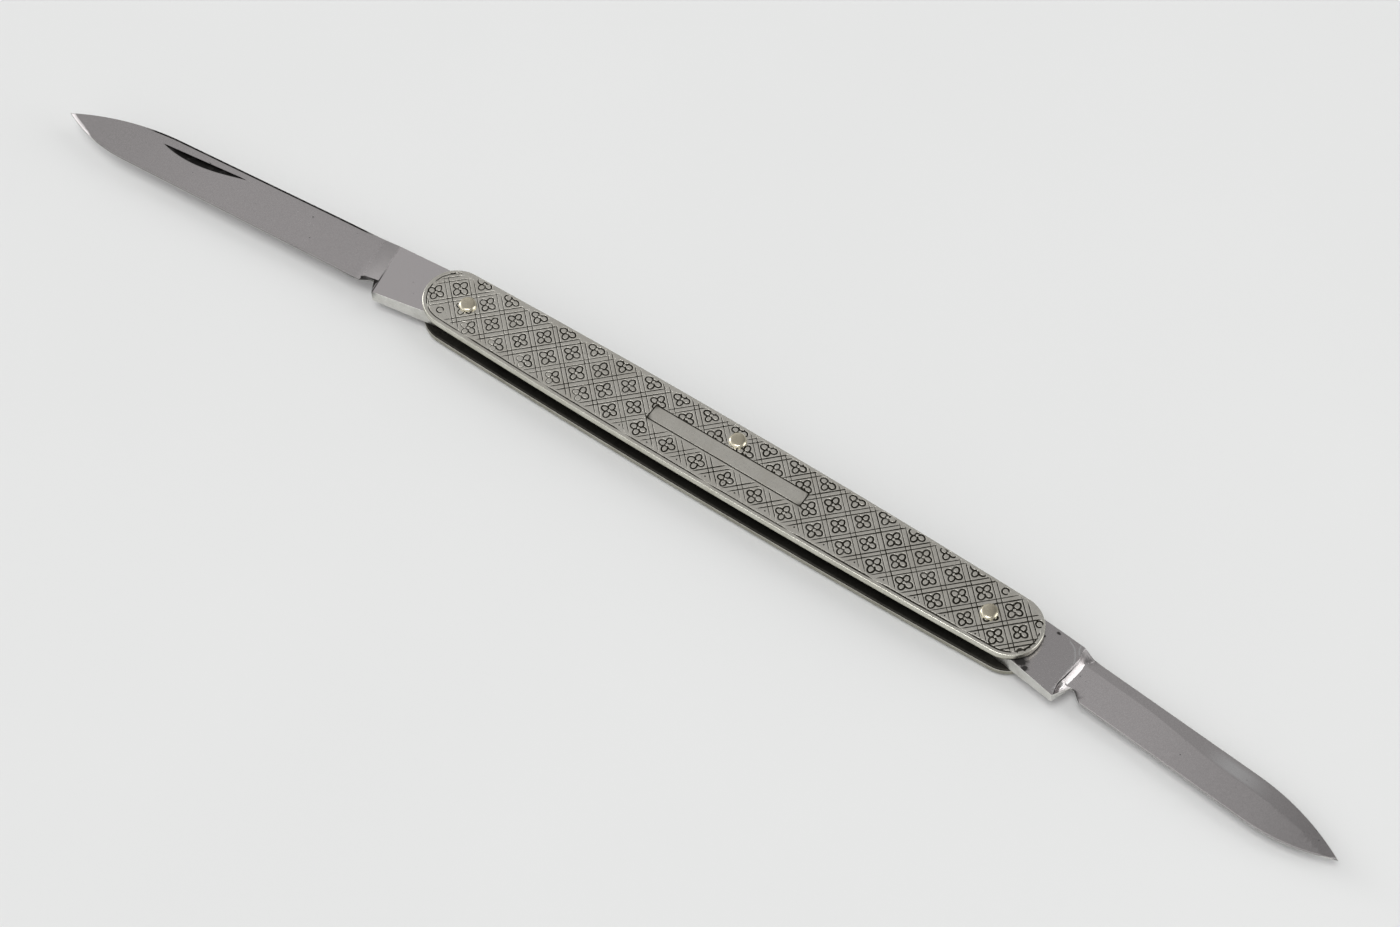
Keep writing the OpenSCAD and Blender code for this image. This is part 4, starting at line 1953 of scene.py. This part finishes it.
    def rear(self, u: float, v: float) -> float:
        """Height of the rear face over the slot's middle.

        Args:
            u: Place along the blade.
            v: Place across it.

        Returns:
            The height.
        """
        tang = self.tang
        p = v2(u, v)
        ground = self.sign * self.grind.edge_w - self.half_thickness(p)
        if self.sign < 0:
            ground += self.nick_depth(p)
        if u >= self.notch_u:
            return ground
        thinned = tang.half_t - self.kick_t
        if u <= tang.thin_from:
            return -tang.half_t
        if u <= tang.kick_u:
            share = (u - tang.thin_from) / (tang.kick_u - tang.thin_from)
            level = -tang.half_t + (thinned + tang.half_t) * share
        else:
            share = (u - tang.kick_u) / (self.notch_u - tang.kick_u)
            level = thinned + (ground - thinned) * share
        body = smooth(-self.notch_v - 0.03, -self.notch_v + 0.03, v)
        return level + (min(level, ground) - level) * body

    def front_creases(self) -> list[list[Vector]]:
        """Lines that the front face folds along.

        Returns:
            Points of each line.
        """
        levels = [-3.5 + 0.25 * i for i in range(30)]
        lines = []
        for share in (0.0, 0.08, 0.18, 0.3, 0.45, 0.62, 0.8, 1.0):
            lines.append([v2(self.ramp_start(v) + self.ramp_length(v) * share, v) for v in levels])
        if self.sign > 0:
            for away in (-0.16, -0.1, 0.06):
                lines.append([v2(self.ramp_start(v) + away, v) for v in levels])
        lines += [self.edge_line(lambda u: self.grind.hone), self.edge_line(self.strip_width)]
        if self.sign > 0:
            lines += self.nick_creases()
            lines += [self.spine_line(lambda u, away=away: away) for away in self.spine_dark]
        else:
            lines.append(self.spine_line(self.swedge_width))
        for mark in self.marks:
            lines += mark.creases()
        return lines

    def rear_creases(self) -> list[list[Vector]]:
        """Lines that the rear face folds along.

        Returns:
            Points of each line.
        """
        tang = self.tang
        lines = [[v2(u, -3.5), v2(u, 4)] for u in (tang.thin_from, tang.kick_u, self.notch_u)]
        lines.append(self.edge_line(lambda u: self.grind.hone))
        for offset in (-0.03, 0.03):
            v = offset - self.notch_v
            lines.append([v2(tang.thin_from, v), v2(self.notch_u, v)])
        if self.sign < 0:
            lines += self.nick_creases()
        return lines

    def edge_line(self, away: Callable[[float], float]) -> list[Vector]:
        """Line whose distance from the cutting edge depends on u.

        Args:
            away: Gives the distance at each u.

        Returns:
            Points of the line.
        """
        straight = [self.heel.lerp(self.belly, i / 30) for i in range(30)]
        centre = self.belly + self.across * self.belly_r
        curved = [p + (centre - p).normalized() * away(p.x) for p in self.belly_arc()]
        return [p + self.across * away(p.x) for p in straight] + curved

    def spine_line(self, away: Callable[[float], float]) -> list[Vector]:
        """Line whose distance from the spine depends on u.

        Args:
            away: Gives the distance at each u.

        Returns:
            Points of the line.
        """
        line = []
        for i in range(70):
            u = 10.0 + (self.reach - 10.5) * i / 69
            if u <= self.fall.x:
                spine, normal = v2(u, self.fall.y), v2(0, -1)
            else:
                x = u - self.fall.x
                spine = v2(u, self.fall.y - self.fall_r + math.sqrt(self.fall_r**2 - x * x))
                normal = (self.fall - v2(0, self.fall_r) - spine).normalized()
            line.append(spine + normal * away(u))
        return line

    def build(self, name: str, pivot: Point) -> bpy.types.Object:
        """Makes the blade in its open place.

        Args:
            name: Name of the piece.
            pivot: Place of the pivot in the row frame.

        Returns:
            The mesh object.
        """
        rim = ((0.0, 0.045), (0.014, 0.014), (0.045, 0.0))
        top = Face(self.front, self.front_creases(), rim, grid=0.8, darkness_at=self.grime_and_shade, brightness_at=self.polish_and_sheen)
        bottom = Face(self.rear, self.rear_creases(), rim, grid=0.8, darkness_at=self.rear_painted_shade)
        place = Matrix.Translation((*pivot, HANDLE.mid_z))
        place = place @ Matrix.Rotation(math.radians(self.sign * self.droop), 4, "Z")
        if self.sign > 0:
            place = place @ Matrix.Diagonal((-1, 1, 1, 1))
        bore = ((v2(0, 0), self.tang.bore_r),)
        return Relief(inset(self.outline(), 0.002), top, bottom, bore, curved=True).build(name, place)


MASTER = Blade(sign=1, reach=54.2, droop=4.9, heel_v=2.3, belly_u=45.5, belly_v=1.65, fall_u=40.5,
               point_v=0.8, notch_v=1.75, kick_t=1.7, nick=((30.6, 2.72), (42.4, 2.31)), nick_wide=0.88,
               nick_deep=0.3, ramp=3.0, ramp_power=1.5, hollow=0.12, strip_from=49.4, tone=0.63,
               fade=(-34.0, -52.0, 0.14), stains_and_shade=((-21.9, 2.15, 0.11, 0.11), (-20.8, -0.3, 0.09, 0.09)))
PEN = Blade(sign=-1, reach=44.2, droop=5.0, heel_v=1.45, belly_u=34, belly_v=1.55, fall_u=32.5,
            point_v=1.0, notch_v=0.6, kick_t=1.35, nick=((23.4, 2.62), (32.6, 2.5)), nick_wide=0.75,
            nick_deep=0.28, ramp=0.62, ramp_power=1.5, hollow=0.0, strip_from=42.6, tone=0.69,
            fade=(20.0, 40.0, 0.22),
            stains_and_shade=(
                (5.6, -2.0, 1.15, 0.8), (6.6, -2.5, 0.5, 0.45), (6.9, 3.15, 0.3, 0.2),
                (5.9, 1.9, 0.22, 0.16),
            ),
            scratches=(
                ((8.5, 3.05), (8.85, 2.95), (9.2, 2.76), (9.52, 2.47), (9.86, 2.04), (10.1, 1.64),
                 (10.24, 1.27)),
                ((9.62, 3.4), (9.72, 3.0), (9.9, 2.7), (10.12, 2.45)),
            ))


def steel(name: str, blade: Blade, pivot: Point) -> Metal:
    """Finish of a blade, whose grain runs across it.

    Args:
        name: Name of the material.
        blade: The blade that it is for.
        pivot: Place of its pivot.

    Returns:
        The finish.
    """
    tone = blade.tone
    clean = (tone, tone * 0.95, tone * 0.95)
    dulled = (tone * 0.94, tone * 0.89, tone * 0.89)
    # the dark colour paints shade on the blade, and the brightness factor its highlights
    return Metal(name, clean, dulled, 0.1, 0.23, 0.03, (9.0, 0.7, 1.0), 0.0003, 0.0004,
                 patina_and_shade=(0.02, 0.019, 0.018), polish_and_sheen=1.5, fade=blade.fade, worn_and_sheen=0.2,
                 turn=blade.sign * blade.droop, spots=blade.stains_and_shade, origin=pivot)


@dataclass
class Pin:
    """Riveted pin with a low peened button at each end.

    Attributes:
        place: Middle of the pin in the row frame.
        seed: Start of the small irregularities of the peening.
        total: Length over both heads.
        shank_r: Radius of the shank.
        neck_r: Radius of a head where it meets the scale.
        head_h: Height of a head.
        steps: Number of steps round the pin.
        dent: How far the head's border is out of round, as a share.
        tilt: How far the head's face tilts, as a share of its radius.
        button: Radius of the head and its drop from the top, from the middle out.
        ring_r: Radius of the middle of a head's rubbed ring, brightened with a painted sheen.
        ring_half: Half the width of that ring.
    """

    place: Point
    seed: int
    total: float = 5.1
    shank_r: float = 0.7
    neck_r: float = 0.96
    head_h: float = 0.4
    steps: int = 56
    dent: float = 0.045
    tilt: float = 0.03
    button: Rim = (
        (0.0, 0.0), (0.35, 0.003), (0.62, 0.012), (0.76, 0.028), (0.84, 0.05),
        (0.91, 0.095), (0.965, 0.16), (1.0, 0.26), (0.99, 0.34),
    )
    ring_r: float = 0.92
    ring_half: float = 0.08

    def build(self, name: str) -> bpy.types.Object:
        """Spins the pin's profile and hammers its heads a little out of true.

        Args:
            name: Name of the piece.

        Returns:
            The mesh object.
        """
        half = self.total / 2
        top = [(r, half - drop) for r, drop in self.button]
        top += [(self.neck_r, half - self.head_h), (self.shank_r, half - self.head_h)]
        profile = top + [(r, -z) for r, z in reversed(top)]
        mesh = bmesh.new()
        line = [mesh.verts.new((r * MM, 0, z * MM)) for r, z in profile]
        edges = [mesh.edges.new(pair) for pair in zip(line, line[1:])]
        bmesh.ops.spin(mesh, geom=line + edges, cent=(0, 0, 0), axis=(0, 0, 1), angle=2 * math.pi,
                       steps=self.steps, use_merge=True)
        bmesh.ops.remove_doubles(mesh, verts=mesh.verts, dist=1e-7)
        dice = random.Random(self.seed)
        phase = [dice.uniform(0, 6.28) for _ in range(4)]
        for vert in mesh.verts:
            radius = vert.co.xy.length / MM
            if radius > self.shank_r + 0.01 or abs(vert.co.z) > (half - 0.2) * MM:
                angle = math.atan2(vert.co.y, vert.co.x)
                waves = 0.25 * math.sin(2 * angle + phase[0]) + 0.25 * math.sin(3 * angle + phase[1])
                vert.co.xy *= 1 - self.dent * (0.5 + waves)
            if abs(vert.co.z) > (half - 0.25) * MM:
                share = 0.5 + 0.5 * math.sin(math.atan2(vert.co.y, vert.co.x) + phase[2])
                vert.co.z -= math.copysign(self.tilt * MM * share * radius, vert.co.z)
        bmesh.ops.recalc_face_normals(mesh, faces=mesh.faces)
        bmesh.ops.translate(mesh, verts=mesh.verts, vec=Vector((*self.place, half)) * MM)
        # the spin leaves the faces in a chance order
        for number, face in enumerate(sorted(mesh.faces, key=lambda f: tuple(f.calc_center_median()))):
            face.index = number
        mesh.faces.sort()
        made = bpy.data.meshes.new(name)
        mesh.to_mesh(made)
        mesh.free()
        made.shade_smooth()
        # a rubbed ring on each head, brightened with a painted sheen
        layer = made.attributes.new(BRIGHTNESS, "FLOAT", "POINT")
        middle = v2(*self.place)
        away = [(v.co.xy / MM - middle).length - self.ring_r for v in made.vertices]
        rubbed_and_sheen = [abs(gap) < self.ring_half for gap in away]
        layer.data.foreach_set("value", [float(value) for value in rubbed_and_sheen])
        return linked(name, made)


@dataclass(frozen=True)
class Lamp:
    """Soft lamp, placed by its direction from the knife.

    Attributes:
        name: Name of the lamp.
        azimuth: Direction over the floor in degrees, from the x axis towards y.
        elevation: Height over the floor in degrees.
        distance: Distance in metres.
        size: Side of the lamp in metres.
        power: Power in watts.
    """

    name: str
    azimuth: float
    elevation: float
    distance: float
    size: float
    power: float

    @property
    def place(self) -> Vector:
        """Place of the lamp."""
        flat = turned(math.cos(math.radians(self.elevation)), 0, self.azimuth)
        return Vector((*flat, math.sin(math.radians(self.elevation)))) * self.distance


LAMPS = (
    Lamp("key", 40.0, 55.0, 1.5, 0.6, 1.4),
    Lamp("top", -90.0, 77.0, 1.5, 0.6, 7.8),
    Lamp("right_card", 22.0, 20.0, 1.5, 1.0, 5.0),
    Lamp("left_card", 182.0, 18.0, 1.5, 0.6, 3.6),
)


@dataclass(frozen=True)
class Glow:
    """Smooth step of the room's level.

    Attributes:
        way: Direction that the step is measured along.
        low: Share of that direction at which the step starts.
        high: Share at which it ends.
        start: Level before the step.
        end: Level after it.
    """

    way: Triple
    low: float
    high: float
    start: float
    end: float


@dataclass(frozen=True)
class Studio:
    """Camera at the photograph's place, with a pale floor and soft light.

    Attributes:
        eye: Place of the camera in metres.
        right: Direction to the right of its picture.
        up: Direction up its picture.
        lens: Focal length in millimetres.
        sensor: Width of the sensor in millimetres.
        floor_r: Radius of the floor in metres.
        backdrop: Colour of the room where the camera sees it.
        room: Steps that add up to the level of the room in each direction.
    """

    eye: Triple = (0.11167547634, -0.16827610029, 0.34261946053)
    right: Triple = (0.82411833, 0.56641226, -0.00247424)
    up: Triple = (-0.48695727, 0.7107306, 0.50767572)
    lens: float = 93.326
    sensor: float = 36.0
    floor_r: float = 3.0
    backdrop: Triple = (0.82, 0.825, 0.82)
    room: tuple[Glow, ...] = (
        Glow((-0.853, -0.150, 0.500), 0.40, 0.62, 0.21, 0.40),
        Glow((-0.853, -0.150, 0.500), 0.82, 1.0, 0.0, 0.8),
        Glow((0.0, 0.0, 1.0), 0.60, 0.85, 0.14, 0.0),
        Glow((0.0, -0.94, 0.34), 0.50, 1.0, 0.0, 0.3),
    )

    def build(self) -> None:
        """Makes the camera, the lamps, the world and the floor."""
        self._camera()
        for lamp in LAMPS:
            self._lamp(lamp)
        self._world()
        self._floor()

    def _camera(self) -> None:
        """Camera that sees what the photograph shows."""
        data = bpy.data.cameras.new("camera")
        data.lens = self.lens
        data.sensor_width = self.sensor
        data.sensor_fit = "HORIZONTAL"
        data.clip_start, data.clip_end = 0.01, 20.0
        camera = linked("camera", data)
        right, up = Vector(self.right), Vector(self.up)
        turn = Matrix((right, up, right.cross(up))).transposed()
        camera.matrix_world = Matrix.Translation(self.eye) @ turn.to_4x4()
        bpy.context.scene.camera = camera

    @staticmethod
    def _lamp(lamp: Lamp) -> None:
        """Rectangular soft light that looks at the knife.

        Args:
            lamp: The lamp.
        """
        data = bpy.data.lights.new(lamp.name, "AREA")
        data.shape = "SQUARE"
        data.size = lamp.size
        data.energy = lamp.power
        made = linked(lamp.name, data)
        made.location = lamp.place
        made.rotation_euler = (-lamp.place).to_track_quat("-Z", "Y").to_euler()

    def _world(self) -> None:
        """Grey room, brighter to the left and darker to the right, behind a pale backdrop."""
        world = bpy.data.worlds.new("room")
        bpy.context.scene.world = world
        s = Shader(world, "BACKGROUND")
        way = s.node("ShaderNodeTexCoord", {}).outputs["Generated"]
        level = 0.0
        for glow in self.room:
            share = s.node("ShaderNodeVectorMath", {0: way, 1: glow.way}, operation="DOT_PRODUCT")
            step = s.node("ShaderNodeMapRange", {
                "Value": share.outputs["Value"], "From Min": glow.low, "From Max": glow.high,
                "To Min": glow.start, "To Max": glow.end,
            }, interpolation_type="SMOOTHSTEP")
            level = s.math("ADD", level, step.outputs["Result"])
        seen = s.node("ShaderNodeLightPath", {}).outputs["Is Camera Ray"]
        s.put(s.last.inputs["Color"], s.mix(seen, level, self.backdrop))

    def _floor(self) -> None:
        """Wide pale floor that the knife lies on."""
        mesh = bmesh.new()
        bmesh.ops.create_circle(mesh, cap_ends=True, segments=96, radius=self.floor_r)
        made = bpy.data.meshes.new("floor")
        mesh.to_mesh(made)
        mesh.free()
        made.materials.append(floor_cloth())
        linked("floor", made)


@dataclass
class PenKnife:
    """All the pieces of the knife.

    Attributes:
        front_scale: Heights of the scale's two faces, as in the CAD.
        front_liner: The same of the liner under it.
        rear_liner: The same of the rear liner.
        rear_scale: The same of the rear scale.
        pin_nodes: CAD node of each pin, from the left one on.
    """

    front_scale: Point = (4.1, 4.7)
    front_liner: Point = (3.7, 4.1)
    rear_liner: Point = (1.0, 1.4)
    rear_scale: Point = (0.4, 1.0)
    pin_nodes: tuple[str, str, str] = ("master_pivot_pin", "spring_pin", "pen_pivot_pin")

    def __post_init__(self) -> None:
        """Makes the materials that several pieces share."""
        self.scale = metal(SCALE)
        self.liner = metal(LINER)
        self.grime_and_shade = metal(GRIME_AND_SHADE)
        self.spring = metal(SPRING)
        self.pin = metal(BRASS)
        self.front_edge = metal(FRONT_EDGE)
        self.liner_edge = metal(LINER_EDGE)
        self.rear_liner_edge = metal(REAR_LINER_EDGE)
        self.rear_edge = metal(REAR_EDGE)
        self.tang_edge = metal(TANG_EDGE)

    def build(self) -> list[Piece]:
        """Every piece, built and dressed, from the front scale to the last pin."""
        return [*self._scales(), *self._liners(), self._spring(), *self._blades(), *self._pins()]

    def _scales(self) -> list[Piece]:
        """The two engraved scales.

        Returns:
            The front one and the rear one.
        """
        front = Scale(Side.FRONT, *self.front_scale).build("front_scale_engraved", Engraving(seed=11))
        front = Piece(front, "handle", "front_scale", "scale").dress(self.scale, self.front_edge)
        rear = Scale(Side.REAR, *self.rear_scale).build("rear_scale_engraved", Engraving(seed=23))
        return [front, Piece(rear, "handle", "rear_scale", "scale").dress(self.scale, self.rear_edge)]

    def _liners(self) -> list[Piece]:
        """The two liners.

        Returns:
            The front one and the rear one.
        """
        front = Liner(Side.FRONT, *self.front_liner).build("front_liner_plate")
        front = Piece(front, "handle", "front_liner", "liner")
        rear = Liner(Side.REAR, *self.rear_liner).build("rear_liner_plate")
        rear = Piece(rear, "handle", "rear_liner", "liner")
        return [
            front.dress(self.liner, self.liner_edge, self.grime_and_shade),
            rear.dress(self.liner, self.rear_liner_edge, self.grime_and_shade),
        ]

    def _spring(self) -> Piece:
        """The back spring."""
        spring = Piece(Spring().build("spring_bar"), "handle", "back_spring", "spring")
        return spring.dress(self.spring, self.spring)

    def _blades(self) -> list[Piece]:
        """Master blade and pen blade.

        Returns:
            The two pieces.
        """
        look = metal(steel("master_steel", MASTER, HANDLE.master))
        master = MASTER.build("master_blade_ground", HANDLE.master)
        master = Piece(master, "master", "master_blade", "blade").dress(look, self.tang_edge)
        look = metal(steel("pen_steel", PEN, HANDLE.pen))
        pen = PEN.build("pen_blade_ground", HANDLE.pen)
        return [master, Piece(pen, "pen", "pen_blade", "blade").dress(look, self.tang_edge)]

    def _pins(self) -> list[Piece]:
        """The three riveted pins.

        Returns:
            The pieces, from the left one on.
        """
        made = []
        for seed, (node, place) in enumerate(zip(self.pin_nodes, HANDLE.pins)):
            piece = Pin(place, seed + 5).build(node.replace("pin", "rivet"))
            made.append(Piece(piece, "handle", node, "pin").dress(self.pin))
        return made


def main() -> None:
    """Builds the scene and notes which CAD node each piece stands for and which body it rides on."""
    logging.basicConfig(level=logging.INFO, format="%(name)s: %(message)s")
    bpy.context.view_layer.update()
    bpy.context.scene.view_settings.view_transform = "Standard"
    Studio().build()
    for piece in PenKnife().build():
        log.info("%s stands for %s and rides on %s", piece.obj.name, piece.node, piece.body)


if __name__ == "__main__":
    main()
